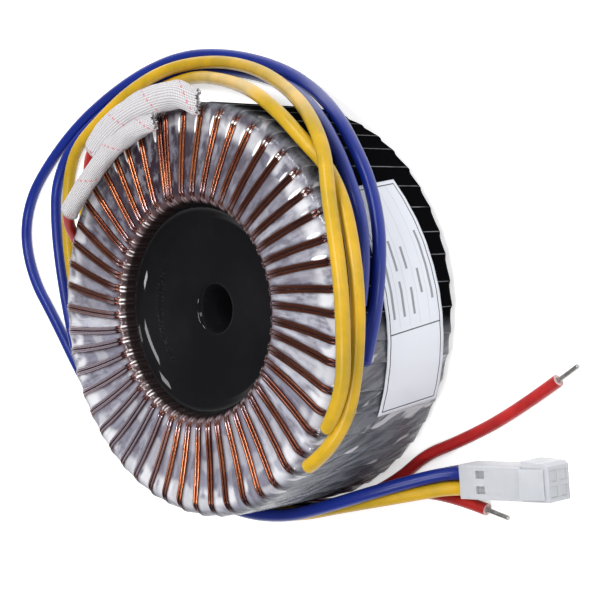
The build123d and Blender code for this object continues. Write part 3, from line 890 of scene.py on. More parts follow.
    def repeated(self) -> bpy.types.Mesh:
        """Repeats the turn at every pair's place.

        Returns:
            One plain mesh with the enamel on it.
        """
        seat = bpy.data.meshes.new("places")
        seat.from_pydata([(0.0, 0.0, 0.0)] * self.pairs, [], [])
        places = link(bpy.data.objects.new("places", seat))
        set_attribute(places, "azimuth", np.radians(np.array(self.azimuths)))
        turn = self.turn()
        enamel = EnamelFinish().material()
        modifier = places.modifiers.new("winding", "NODES")
        modifier.node_group = self.tree()
        wanted = {"Turn": turn, "Wire Radius": self.wire * MM / 2, "Sway": self.sway * MM, "Enamel": enamel}
        for item in modifier.node_group.interface.items_tree:
            if item.in_out == "INPUT" and item.name in wanted:
                modifier[item.identifier] = wanted[item.name]
        places.update_tag()
        graph = bpy.context.evaluated_depsgraph_get()
        mesh = bpy.data.meshes.new_from_object(places.evaluated_get(graph))
        mesh.name = "outer_winding"
        if not mesh.materials:
            mesh.materials.append(enamel)
        bpy.data.objects.remove(places)
        bpy.data.objects.remove(turn)
        return mesh

    def mark(self, piece: Object) -> None:
        """Stores what the wires' finish reads: flanks and sides for painted shade, a painted reflection of the
        film and painted glints at the outer bend.

        Args:
            piece: The winding.
        """
        points = np.empty(len(piece.data.vertices) * 3, dtype=np.float32)
        piece.data.vertices.foreach_get("co", points)
        x, y, z = points.reshape(-1, 3).T / MM
        radius = np.hypot(x, y)
        proud = np.maximum(z - self.top, np.maximum(radius - self.rim_radius, self.bore_radius - radius))
        right, up = x / radius, y / radius
        # Painted shade on the wires at the right and the left of the ring.
        shade = 0.92 * ramp(right, 0.15, 0.65)
        shade += (0.30 + 0.55 * ramp(up, -0.12, 0.18)) * ramp(right, -0.60, -0.90)
        # Painted reflection of the film over the lower left wires and near the bore.
        film_reflection = np.minimum(ramp(right, -0.25, -0.55), 0.9) * ramp(up, 0.20, -0.10)
        film_reflection += 0.7 * ramp(radius, 32.5, 29.9)
        # Painted glints where the wires bend over the outer corner at the upper right.
        bend = (radius - self.rim_radius) / self.rim_bend + 1.0
        hook = bell(bend, 0.36, 0.16) * bell(np.degrees(np.arctan2(y, x)), 48.0, 34.0, 4) * (z > self.top / 2)
        values = (np.clip(1.0 - proud / (self.wire / 2), 0.0, 1.0), shade, np.clip(film_reflection, 0.0, 0.9), hook)
        for name, value in zip(WIRE_MARKS, values):
            set_attribute(piece, name, value)

    def build(self) -> Object:
        """Makes the winding as one plain mesh.

        Returns:
            The piece that stands for both strands.
        """
        piece = link(bpy.data.objects.new("outer_winding", self.repeated()))
        self.mark(piece)
        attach(piece, BODY)
        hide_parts("outer_secondary_strand_a", "outer_secondary_strand_b")
        log.info("outer winding: %d pairs, %d faces", self.pairs, len(piece.data.polygons))
        return piece


@dataclass
class ClearWrap:
    """The clear film, drawn tight over the pairs and lapped round the rim."""

    winding: OuterWinding
    bore_radius: float = 26.98
    rim_radius: float = 51.90
    top: float = 42.36
    bottom: float = 0.66
    bore_bend: float = 3.0
    rim_bend: float = 3.7
    lap_rise: float = 0.58
    lap_end: float = 0.86
    panel_dip: float = 0.34
    bore_ridge: float = 0.34
    ridge_width: float = 0.42
    hug_share: float = 0.155
    seed: int = 3
    # Where the columns of points lie between one pair and the next, as shares of the way.
    shares: tuple[float, ...] = (
        0.0, 0.022, 0.07, 0.125, 0.155, 0.2, 0.26, 0.34, 0.42,
        0.5, 0.58, 0.66, 0.74, 0.8, 0.845, 0.875, 0.94, 0.978,
    )

    def section(self) -> list[tuple[float, ...]]:
        """Lays out the film's section round the ring.

        Returns:
            Radius, height, outward direction in the half plane, length along the section, how much of
            the rim and how much of the bore each point belongs to.
        """
        rows: list[tuple[float, ...]] = []
        b, r = self.bore_bend, self.rim_bend

        def arc(
            radius: float, height: float, size: float, start: float, steps: int,
            rim: tuple[float, float] = (0, 0), bore: tuple[float, float] = (0, 0),
        ) -> None:
            """Adds a quarter bend to the section.

            Args:
                radius: Where the bend's centre lies from the axis.
                height: The centre's height.
                size: The bend's own radius.
                start: The angle it starts from, in degrees.
                steps: How many steps it takes.
                rim: The rim's share at its start and end.
                bore: The bore's share at its start and end.
            """
            for step in range(steps + 1):
                share = step / steps
                angle = math.radians(start - 90 * share)
                out_r, out_z = math.cos(angle), math.sin(angle)
                shares = (ends[0] + (ends[1] - ends[0]) * share for ends in (rim, bore))
                rows.append((radius + size * out_r, height + size * out_z, out_r, out_z, *shares))

        for height in np.linspace(12.0, self.top - b, 11)[:-1]:
            rows.append((self.bore_radius, float(height), -1.0, 0.0, 0.0, 1.0))
        arc(self.bore_radius + b, self.top - b, b, 180, 10, bore=(1, 0))
        for radius in np.linspace(self.bore_radius + b, self.rim_radius - r, 16)[1:-1]:
            rows.append((float(radius), self.top, 0.0, 1.0, 0.0, 0.0))
        arc(self.rim_radius - r, self.top - r, r, 90, 10, rim=(0, 1))
        for height in np.linspace(self.top - r, self.bottom + r, 14)[1:-1]:
            rows.append((self.rim_radius, float(height), 1.0, 0.0, 1.0, 0.0))
        arc(self.rim_radius - r, self.bottom + r, r, 0, 6, rim=(1, 0))
        for radius in np.linspace(self.rim_radius - r, self.bore_radius + b, 8)[1:-1]:
            rows.append((float(radius), self.bottom, 0.0, -1.0, 0.0, 0.0))
        arc(self.bore_radius + b, self.bottom + b, b, -90, 5, bore=(0, 1))
        long, last = 0.0, rows[0]
        full = []
        for row in rows:
            long += math.hypot(row[0] - last[0], row[1] - last[1])
            full.append((*row[:4], long, *row[4:]))
            last = row
        return full

    def build(self) -> Object:
        """Makes the film as one mesh with the attributes that its finish reads.

        Returns:
            The piece that stands for the film.
        """
        chance = random.Random(self.seed)
        pairs = self.winding.pairs
        places = [azimuth % 360 for azimuth in self.winding.azimuths]
        dips = [chance.uniform(0.55, 1.25) for _ in range(pairs)]
        skews = [chance.uniform(-0.3, 0.3) for _ in range(pairs)]
        laps = [chance.uniform(0.55, 1.0) for _ in range(pairs)]
        tones = [chance.random() * (0.35 if 188 < place < 300 else 1.0) for place in places]
        # Painted glints near the outer ends on the upper right.
        sparks = [chance.uniform(0.6, 1.7) if 12 < place < 130 else 0.0 for place in places]

        # Axes of the arrays: points along the section, pairs, places between two pairs.
        rows = self.section()
        radius, height, out_r, out_z, long, rim, bore = np.array(rows).T[:, :, None, None]
        dips, skews, laps, tones, sparks = np.array([dips, skews, laps, tones, sparks])[:, None, :, None]
        share = np.array(self.shares)
        here = np.array(self.winding.azimuths)[None, :, None]
        around = here + (np.roll(here, -1, axis=1) - here) % 360 * share
        drift = np.array([self.winding.leaning(row[0]) for row in rows])
        half_turn = next(index for index, row in enumerate(rows) if row[5] == 1.0) + 1
        drift[half_turn:] = 2 * self.winding.lean - drift[half_turn:]
        angle = np.radians(around + drift[:, None, None])
        azimuth = (np.degrees(angle) + 180) % 360 - 180

        # The film dips between the pairs on the face, laps on the rim and rises in ridges in the bore.
        rim, hug = eased(rim), eased(bore)
        bow = np.sin(np.pi * ramp(share, self.hug_share, 1 - self.hug_share) ** (1 + skews)).clip(0.0) ** 0.75
        fall = laps * (1 - share / self.lap_end).clip(0.0) ** 1.5
        fall = fall + np.roll(laps, -1, axis=1) * ramp(share, self.lap_end, 1.0) ** 1.3
        between = np.radians((np.roll(here, -1, axis=1) - here) % 360) * radius
        ridge = bell(np.minimum(share, 1 - share) * between, self.winding.spacing / 2, self.ridge_width) - 0.3
        lift = self.lap_rise * fall * rim + self.bore_ridge * ridge * hug
        lift = lift - self.panel_dip * dips * bow * (1 - rim) * (1 - hug)
        reach = radius + out_r * lift
        points = np.stack([reach * np.cos(angle), reach * np.sin(angle), height + out_z * lift], axis=-1) * MM

        inward = 1 - ramp(radius, 30.0, 48.0)
        near_pair = np.minimum(share / (0.150 + 0.12 * inward), (1 - share) / (0.130 + 0.04 * inward))
        # Of these marks, edge places a painted shadow beside the pairs, tip and spark place painted glare and
        # glints near the outer ends, glow places painted glints in the bore, and gloom places painted shade,
        # strongest on the upper left.
        marks = {
            "edge": np.clip(1.90 - near_pair, 0.0, 1.0),
            "rim": rim,
            "bore": bore,
            "ridge": np.maximum(0.0, ridge),
            "tip": tent(radius, 47.2, 3.6),
            "tone": tones,
            "dark": self.dark_share(azimuth, height),
            "crease": (share == 0.0) * 1.0,
            "glow": ramp(-np.cos(angle), 0.25, 0.75),
            "gloom": bell(azimuth, 108.0, 62.0) + 0.10 * bell(azimuth, 10.0, 40.0),
            "spark": sparks * tent(share, 0.27, 0.13) * tent(radius, 46.6, 3.4) * (1 - rim),
        }
        columns, pitch, last = pairs * len(share), len(share), (len(rows) - 1) * pairs * len(share)
        faces = ring_faces(len(rows), columns)
        for column in range(columns):
            after = (column + 1) % columns
            faces.append((last + column, (column - pitch) % columns, (after - pitch) % columns, last + after))
        piece = mesh_piece("clear_wrap", points.reshape(-1, 3).tolist(), faces, WrapFinish().material())
        shape = points.shape[:3]
        for name in WRAP_MARKS:
            set_attribute(piece, name, np.broadcast_to(marks[name], shape).ravel())
        lay = [np.broadcast_to(value, shape) for value in (np.radians(around) * 40.0, long, dips * 9.0)]
        set_attribute(piece, "lay", np.stack(lay, axis=-1).reshape(-1, 3))
        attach(piece, BODY)
        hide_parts("outer_film")
        log.info("clear wrap: %d faces", len(faces))
        return piece

    @staticmethod
    def dark_share(azimuth: np.ndarray, height: np.ndarray) -> np.ndarray:
        """Finds how dark the film round the rim is at each place.

        Args:
            azimuth: Degrees round the ring, from -180 to 180.
            height: Millimetres above the base.

        Returns:
            Shares from 0, where the film is grey, to 1.
        """
        near_label = np.clip((azimuth + 14) / 10 + (22 - height) * 0.012, 0.12, 1.0)
        behind = np.clip((-115 - azimuth) / 20, 0.12, 1.0)
        upper = 1.0 - 0.62 * ramp(height, 35.5, 40.5) * ramp(azimuth, 150.0, 110.0)
        return np.where(azimuth <= -115, behind, np.where(azimuth < 20, near_label, upper))


@dataclass
class PottedCentre:
    """Black cast resin in the bore, with its meniscus and bolt hole."""

    reach: float = 27.3
    level: float = 34.2
    hole: float = 4.5
    mouth: float = 6.1
    foot: float = 29.2

    def build(self) -> Object:
        """Turns the casting's section and gives it its resin.

        Returns:
            The piece that stands for the casting.
        """
        resin = MouldedFinish(
            "black_resin", (0.006, 0.006, 0.007, 1.0), (0.010, 0.010, 0.011, 1.0),
            roughness=0.05, specular=0.17, scale=40.0, bump=0.000004,
        ).material()
        reach, level, mouth, hole, foot = self.reach, self.level, self.mouth, self.hole, self.foot
        profile = [
            (hole, 0.0), (hole + 0.05, 0.0), (foot - 0.05, 0.0), (foot, 0.0), (foot, 0.4),
            (reach - 0.25, 3.2), (reach, 6.0), (reach, 20.0), (reach, level + 3.9),
            *smooth_line([
                (reach - 0.02, level + 4.0), (reach - 0.5, level + 2.9), (reach - 1.3, level + 1.95),
                (reach - 2.3, level + 1.2), (reach - 3.6, level + 0.55), (reach - 4.6, level + 0.12),
                (reach - 5.8, level), (20.0, level), (19.0, level),
            ]),
            (14.0, level),
            *smooth_line([
                (9.5, level), (8.6, level - 0.02), (mouth + 0.7, level - 0.2), (mouth - 0.1, level - 0.9),
                (mouth - 0.8, level - 2.3), (hole + 0.3, level - 4.0), (hole, level - 5.5),
            ]),
            (hole, 15.0), (hole, 1.0),
        ]
        piece = lathe("potted_centre", profile, 128, resin)
        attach(piece, BODY)
        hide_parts("centre_potting")
        log.info("potted centre: %d faces", len(piece.data.polygons))
        return piece


@dataclass
class RatingLabel:
    """The label on the rim, framed and ruled but with nothing to read."""

    length: float = 58.0
    width: float = 20.6
    radius: float = 52.60
    tilt: float = 8.5
    height: float = 18.4
    thickness: float = 0.09

    def build(self) -> Object:
        """Lays the sheet round the rim, a little wavy over the laps.

        Returns:
            The piece that stands for the label.
        """
        columns, rows = 96, 28
        vertices, sheet = [], []
        lean = math.radians(self.tilt)
        for side in (0.0, 1.0):
            for row in range(rows + 1):
                for column in range(columns + 1):
                    x = (column / columns - 0.5) * self.length
                    y = (row / rows - 0.5) * self.width
                    around = x * math.cos(lean) - y * math.sin(lean)
                    z = self.height + x * math.sin(lean) + y * math.cos(lean)
                    wave = 0.035 * math.sin(around * 1.06 + 0.6) + 0.02 * math.sin(around * 0.37 + z * 0.2)
                    r = self.radius + wave - side * self.thickness
                    angle = around / self.radius
                    vertices.append((r * MM * math.cos(angle), r * MM * math.sin(angle), z * MM))
                    sheet.append((x, y, 0.0))
        wide, layer = columns + 1, (columns + 1) * (rows + 1)
        faces = []
        for row in range(rows):
            for a in range(row * wide, row * wide + columns):
                b, c, d = a + 1, a + wide + 1, a + wide
                faces += [(a, b, c, d), (layer + d, layer + c, layer + b, layer + a)]
        for low in range(columns):
            high = rows * wide + low
            faces += [(low + 1, low, layer + low, layer + low + 1)]
            faces += [(high, high + 1, layer + high + 1, layer + high)]
        for low in range(0, layer - wide, wide):
            high = low + columns
            faces += [(low, low + wide, layer + low + wide, layer + low)]
            faces += [(high + wide, high, layer + high, layer + high + wide)]
        paper = LabelFinish(length=self.length, width=self.width).material()
        piece = mesh_piece("rating_sheet", vertices, faces, paper)
        set_attribute(piece, "sheet", np.array(sheet))
        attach(piece, BODY)
        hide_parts("rating_label")
        log.info("label: %d faces", len(faces))
        return piece


# ------------------------------------------------------------------- leads
@dataclass
class Lead:
    """One hook-up lead, laid along its route."""

    name: str
    colour: LeadColour
    diameter: float
    length: float
    far_end: str
    route: Sequence[Point]
    slot: str
    tuck: float = 0.0
    thin_root: bool = False
    round_root: bool = False
    around: int = 24

    def laid(self) -> list[Point]:
        """Tucks the root under the film.

        Returns:
            The route, begun a little way along.
        """
        first, second = Vector(self.route[0]), Vector(self.route[1])
        root = first.lerp(second, self.tuck / (second - first).length)
        return [tuple(root), *self.route[1:]]

    def curve(self, name: str, bevel: float) -> Object:
        """Makes a curve along the route.

        Args:
            name: The object's name.
            bevel: Radius of the tube in metres, or 0 for the bare line.

        Returns:
            The linked curve object.
        """
        data = bpy.data.curves.new(name, "CURVE")
        data.dimensions = "3D"
        data.resolution_u = 10
        data.bevel_depth = bevel
        data.bevel_resolution = 5
        data.use_fill_caps = bevel > 0
        spline = data.splines.new("NURBS")
        route = self.laid()
        spline.points.add(len(route) - 1)
        for point, place in zip(spline.points, route):
            point.co = (place[0] * MM, place[1] * MM, place[2] * MM, 1.0)
        if self.thin_root:
            spline.points[0].radius = 0.1
        spline.order_u = 3
        spline.use_endpoint_u = True
        return link(bpy.data.objects.new(name, data))

    def line(self) -> list[Vector]:
        """Works out the smooth centre line.

        Returns:
            Its points, in metres.
        """
        bare = self.curve("line", 0.0)
        graph = bpy.context.evaluated_depsgraph_get()
        mesh = bpy.data.meshes.new_from_object(bare.evaluated_get(graph))
        points = [vertex.co.copy() for vertex in mesh.vertices]
        bpy.data.objects.remove(bare)
        bpy.data.meshes.remove(mesh)
        return points

    def end_piece(
        self, name: str, vertices: Sequence[Vector], faces: Sequence[tuple[int, ...]], material: Material
    ) -> Object:
        """Makes a small piece that belongs to one end of the lead.

        Args:
            name: What the piece is called after the lead's own name.
            vertices: Points in metres.
            faces: Vertex indices of each face.
            material: Its material.

        Returns:
            The piece.
        """
        piece = mesh_piece(f"{self.name}_{name}", vertices, faces, material)
        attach(piece, BODY)
        return piece

    def circle(self, centre: Vector, ahead: Vector, radius: float) -> list[Vector]:
        """Lays points on a circle about the lead's own line.

        Args:
            centre: The circle's centre in millimetres.
            ahead: The way that the lead runs there.
            radius: The circle's radius in millimetres.

        Returns:
            The points, in metres.
        """
        side, up = sideways(ahead)
        turns = [2 * math.pi * step / self.around for step in range(self.around)]
        return [(centre + (side * math.cos(turn) + up * math.sin(turn)) * radius) * MM for turn in turns]

    def rounded_root(self) -> Object:
        """Makes the rounded end of the insulation at the lead's root.

        Returns:
            The piece.
        """
        root, ahead = (Vector(place) for place in self.laid()[:2])
        back = (root - ahead).normalized()
        radius, rings = self.diameter / 2, 6
        vertices = [(root + back * radius * 0.9) * MM]
        for ring in range(1, rings + 1):
            angle = math.pi / 2 * ring / rings
            centre = root + back * radius * 0.9 * math.cos(angle)
            vertices += self.circle(centre, back, radius * math.sin(angle))
        faces = [(0, 1 + step, 1 + (step + 1) % self.around) for step in range(self.around)]
        faces += ring_faces(rings, self.around, first=1)
        faces.append(tuple(range(len(vertices) - self.around, len(vertices)))[::-1])
        return self.end_piece("root", vertices, faces, FINISHES[self.colour])

    def cut_face(self) -> Object:
        """Makes the pale ring where the insulation was cut.

        Returns:
            The piece.
        """
        before, end = (Vector(place) for place in self.laid()[-2:])
        ahead = (end - before).normalized()
        rings = ((0.20, 0.02), (0.20, 0.10), (0.43, 0.10), (0.49, 0.02))
        vertices = []
        for share, out in rings:
            vertices += self.circle(end + ahead * out, ahead, self.diameter * share)
        return self.end_piece("cut", vertices, ring_faces(len(rings), self.around), FINISH_CUT.material())

    def build(self, with_pieces: Iterable[Object]) -> Object:
        """Args:
            with_pieces: Not used; it is only copied into a list that nothing reads.

        Returns:
            The lead.
        """
        piece = self.curve(f"{self.name}_flex", self.diameter * MM / 2)
        piece.data.materials.append(FINISHES[self.colour])
        carried = list(with_pieces)
        if self.round_root:
            carried.append(self.rounded_root())
        if self.far_end == "bare":
            carried.append(self.cut_face())
        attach(piece, BODY)
        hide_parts(self.name)
        log.info("%s: %.0f mm", self.name, self.length)
        return piece


FINISHES: dict[LeadColour, Material] = {}
FINISH_CUT = MouldedFinish(
    "cut_insulation", (0.62, 0.46, 0.45, 1.0), (0.50, 0.30, 0.30, 1.0), roughness=0.6, scale=900.0
)
FINISH_TIN = MouldedFinish(
    "tinned_copper", (0.50, 0.49, 0.48, 1.0), (0.30, 0.29, 0.28, 1.0),
    roughness=0.32, metallic=0.9, scale=500.0, bump=0.00006,
)

YELLOW_A = Lead("yellow_lead_a", LeadColour.YELLOW, 3.5, 469.0, "connector", (
    (44.5, -31, 44), (48.6, -27, 44.9), (53.3, -19, 45.4), (55.8, -8, 47), (56, 3.5, 46.8),
    (54, 14.5, 45.6), (51, 24, 43.6), (47.5, 35, 40), (37, 45.5, 33.6), (15.5, 54.5, 17.4),
    (-0.5, 62, 10.4), (-16, 67, 6.2), (-30.5, 69.5, 4.8), (-45.5, 69.5, 5.2), (-62, 65.5, 5),
    (-78, 58.5, 4.4), (-90, 52.7, 3.4), (-97, 44.5, 1.8), (-99, 33.5, 1.8), (-100, 21.5, 1.8),
    (-96.5, 0.5, 1.8), (-90.5, -19, 1.8), (-79, -35, 1.8), (-64, -44.5, 3.2), (-46, -48.8, 6.6),
    (-27.5, -51.3, 10.8), (-10.5, -54.8, 11.7), (6.5, -55, 11.8), (21, -52.3, 11.5), (33, -50.4, 9.2),
    (43, -48.8, 5.9), (49.5, -47.75, 3.6), (54.3, -47.65, 2.35), (59, -47.65, 2.35),
), "yellow_pvc", tuck=3.0, round_root=True)
YELLOW_B = Lead("yellow_lead_b", LeadColour.YELLOW, 3.5, 460.0, "connector", (
    (36.5, -39, 43), (41, -37, 43.6), (46.5, -33, 43.4), (51, -26, 41.8), (53.9, -16.5, 41.6),
    (56.2, -6, 42.2), (56.7, 4, 42.2), (55, 15.5, 41.4), (51, 24, 39.2), (45, 32, 37.2),
    (39.5, 38, 38.4), (33, 45, 38.6), (22.5, 51.5, 35.6), (4, 57, 23), (-15, 62, 12.4),
    (-31.5, 65.5, 5.6), (-46, 65.6, 2.5), (-59.5, 63.5, 1.8), (-70, 59.5, 1.8), (-82, 51, 1.8),
    (-89, 38, 1.8), (-92.5, 22, 1.8), (-91.5, 4, 1.8), (-86, -14, 1.8), (-75.5, -29, 1.8),
    (-63, -39.7, 3.8), (-45.5, -46, 10.3), (-27.3, -50.4, 14.6), (-10.5, -54.8, 15.3), (6.5, -55, 15.4),
    (21, -52.3, 15.2), (33, -50.4, 13.1), (43, -48.8, 9.7), (49.6, -47.75, 7.5), (54.3, -47.65, 6.05),
    (59, -47.65, 6.05),
), "yellow_pvc", tuck=2.5, round_root=True)
BLUE_A = Lead("blue_lead_a", LeadColour.BLUE, 3.3, 478.0, "connector", (
    (52, -16.6, 37.2), (53.6, -11.5, 36.6), (55.2, -3, 34.8), (55, 8, 32), (53, 17.5, 29.2),
    (48.5, 27.5, 26.2), (43, 36, 24.2), (34, 45.5, 19.8), (16, 55, 8.4), (1.5, 62.5, 3.8),
    (-13.5, 68, 1.6), (-27.5, 71.5, 1.6), (-42, 73, 1.6), (-58, 71, 1.6), (-74, 66.5, 1.6),
    (-91, 59.5, 1.6), (-106, 50, 1.6), (-117.5, 40, 1.6), (-122.5, 27.5, 1.6), (-119, 13, 1.6),
    (-110, 1, 1.6), (-98, -17.5, 1.6), (-84, -35, 1.6), (-70, -50.5, 1.6), (-48, -51.8, 2.6),
    (-28, -52, 7), (-11, -54.7, 8.2), (6, -54.8, 8.2), (20, -51.4, 8), (31, -48.3, 6.7),
    (41, -46, 4.5), (49.5, -44.1, 3), (54.3, -43.95, 2.35), (59, -43.95, 2.35),
), "blue_pvc", tuck=2.5, round_root=True)
BLUE_B = Lead("blue_lead_b", LeadColour.BLUE, 3.3, 437.0, "connector", (
    (54.2, -2, 39.2), (54.9, 3.5, 38.4), (54.2, 11.5, 36.4), (52, 19.5, 34.4),
    (47.5, 28, 32.2), (41.5, 36.5, 29.4), (31, 46, 23.6), (8.5, 56.5, 8.2), (-8.5, 62.5, 2.8),
    (-21.5, 66, 1.6), (-36, 68.5, 1.6), (-51.5, 68.8, 1.6), (-68, 65, 1.6), (-83, 59.5, 1.6),
    (-96, 52.5, 1.6), (-104, 42.5, 1.6), (-105.5, 31, 1.6), (-105, 18, 1.6), (-100.5, 1, 3),
    (-92.5, -16.5, 6), (-80, -29, 5.8), (-63, -36, 6.4), (-46, -41.5, 12.4), (-28, -49.8, 18.2),
    (-11, -54.7, 18.8), (6, -54.9, 18.9), (20.5, -51.6, 18.6), (32.5, -48.3, 16.3), (43, -45.5, 11.2),
    (49.6, -44.1, 7.7), (54.3, -43.95, 6.05), (59, -43.95, 6.05),
), "blue_pvc", tuck=0.5)
RED_A = Lead("red_lead_a", LeadColour.RED, 3.1, 290.0, "bare", (
    (17, 52, 44.6), (5.5, 54.5, 44.6), (-6.5, 54.5, 44.6), (-18, 52, 44.6), (-28.5, 47, 44.6),
    (-37, 41, 42), (-44, 34.5, 36), (-49.5, 26.5, 28.4), (-54, 14.5, 20), (-56, 2, 11.6),
    (-55, -11.5, 4.4), (-49.5, -26, 1.6), (-38, -40.5, 1.6), (-22, -50, 1.6), (-4.5, -54.5, 1.6),
    (13.5, -53.5, 1.6), (29.5, -47, 1.6), (39.5, -40.2, 1.6), (50, -37, 1.6), (66.5, -30.4, 1.6),
    (81, -22.2, 1.6),
), "red_pvc", tuck=9.0, thin_root=True)
RED_B = Lead("red_lead_b", LeadColour.RED, 3.1, 241.0, "bare", (
    (-2.5, 48.5, 45.6), (-12.5, 47, 45.6), (-22, 43.5, 45.6), (-30.5, 38, 45.6), (-38, 32, 45.6),
    (-46, 27.5, 43.6), (-52, 21, 35.6), (-55.5, 12, 27), (-57.5, 1, 18), (-58, -11.5, 9.6),
    (-55, -24.5, 5.4), (-44.5, -38.5, 4.9), (-28, -48.4, 4.9), (-10.5, -54.5, 4.9), (6, -54.8, 4.9),
    (21.2, -51.7, 4.7), (32, -49.4, 3.3), (45.5, -50, 1.6), (57.5, -53.4, 1.6),
), "red_pvc", tuck=5.5, thin_root=True)


@dataclass
class BraidedSleeve:
    """A flattened braided sleeve over the root of a red lead."""

    name: str
    node: str
    lead: Lead
    reach: float
    width: float
    height: float
    mouth_width: float
    mouth_height: float
    overhang: float
    settle: float
    wall: float = 0.45
    mouth_length: float = 9.0
    around: int = 48

    def stations(self) -> list[tuple[float, Vector]]:
        """Lays out the sleeve's centre line, from a little before its lead's root.

        Returns:
            Length so far in millimetres and place in metres, at each point.
        """
        line = self.lead.line()
        back = (line[0] - line[1]).normalized()
        chain = [line[0] + back * step * MM for step in np.linspace(self.overhang, 0.0, 5)[:-1]] + line
        placed, total = [(0.0, chain[0])], 0.0
        for before, here in zip(chain, chain[1:]):
            total += (here - before).length / MM
            if total > self.reach:
                break
            placed.append((total, here))
        return placed

    def build(self, finish: Material) -> Object:
        """Sweeps the sleeve along its lead.

        Args:
            finish: The braid's material.

        Returns:
            The piece that stands for the sleeve.
        """
        chance = random.Random(5)
        stations = self.stations()
        last = len(stations) - 1
        around = self.around
        fray = [chance.uniform(-0.7, 0.5) for _ in range(around)]
        vertices, weave = [], []
        for wall in (0.0, self.wall):
            for index, (long, here) in enumerate(stations):
                ahead = (stations[min(index + 1, last)][1] - stations[max(index - 1, 0)][1]).normalized()
                side, up = sideways(ahead)
                full = eased(min(1.0, long / self.mouth_length))
                width = self.mouth_width + (self.width - self.mouth_width) * full
                height = self.mouth_height + (self.height - self.mouth_height) * full
                flare = 1 + 0.07 * max(0.0, 1 - (last - index) / 4.0)
                for step in range(around):
                    angle = 2 * math.pi * step / around
                    ripple = flare + 0.03 * math.sin(3 * angle + long * 0.35)
                    ripple += 0.02 * math.sin(5 * angle - long * 0.8)
                    ripple += 0.05 * (1 - full) * math.sin(7 * angle + 1.3)
                    across = max(width / 2 - wall, 0.2) * ripple * math.cos(angle)
                    across -= self.settle * (1.0 - 0.75 * full)
                    rise = max(height / 2 - wall, 0.1) * ripple * math.sin(angle)
                    slip = fray[step] if index == 0 else 0.0
                    vertices.append(here + (side * across + up * rise + ahead * slip) * MM)
                    weave.append((long, step / around * 2 * math.pi * 2.7, 1 - full))
        rows, inside = len(stations), len(stations) * around
        faces = [face[::-1] for face in ring_faces(rows, around)] + ring_faces(rows, around, first=inside)
        for step in range(around):
            a, b = step, (step + 1) % around
            faces.append((a, a + inside, b + inside, b))
            a, b = inside - around + a, inside - around + b
            faces.append((b, b + inside, a + inside, a))
        piece = mesh_piece(self.name, vertices, faces, finish)
        set_attribute(piece, "weave", np.array(weave))
        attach(piece, BODY)
        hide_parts(self.node)
        log.info("%s: %d faces", self.name, len(faces))
        return piece


@dataclass
class WireConnector:
    """The nylon housing and the contacts in it."""

    bevel: float = 0.22
    # Centres and size of the plugs that half fill the four cavities.
    plug_x: float = 79.8
    plug_rows: tuple[float, ...] = (-47.65, -43.95)
    plug_heights: tuple[float, ...] = (2.35, 6.05)
    plug: Point = (2.2, 2.5, 2.5)

    def build(self) -> list[Object]:
        """Softens the housing's corners and dresses its contacts.

        Returns:
            The housing and the contacts.
        """
        nylon = MouldedFinish(
            "natural_nylon", (0.44, 0.455, 0.485, 1.0), (0.51, 0.52, 0.55, 1.0),
            roughness=0.36, specular=0.45, subsurface=0.6, scale=45.0, bump=0.00002,
        ).material()
        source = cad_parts["connector_housing"]
        shell = bmesh.new()
        shell.from_mesh(source.data)
        bmesh.ops.remove_doubles(shell, verts=shell.verts, dist=1e-6)
        size = Matrix.Diagonal((*(Vector(self.plug) * MM), 1.0))
        for y in self.plug_rows:
            for z in self.plug_heights:
                place = Matrix.Translation(Vector((self.plug_x, y, z)) * MM) @ size
                bmesh.ops.create_cube(shell, size=1.0, matrix=place)
        bmesh.ops.dissolve_limit(shell, angle_limit=math.radians(2), verts=shell.verts, edges=shell.edges)
        mesh = bpy.data.meshes.new("connector_shell")
        shell.to_mesh(mesh)
        shell.free()
        mesh.materials.append(nylon)
        piece = link(bpy.data.objects.new("connector_shell", mesh))
        soften = piece.modifiers.new("soften", "BEVEL")
        soften.width = self.bevel * MM
        soften.segments = 2
        soften.limit_method = "ANGLE"
        soften.angle_limit = math.radians(35)
        soften.use_clamp_overlap = True
        mesh.shade_smooth()
        mesh.set_sharp_from_angle(angle=math.radians(30))
        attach(piece, BODY)
        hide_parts("connector_housing")
        contacts = dress("crimp_terminals", FINISH_TIN.material())
        log.info("connector: %d faces", len(mesh.polygons))
        return [piece, contacts]


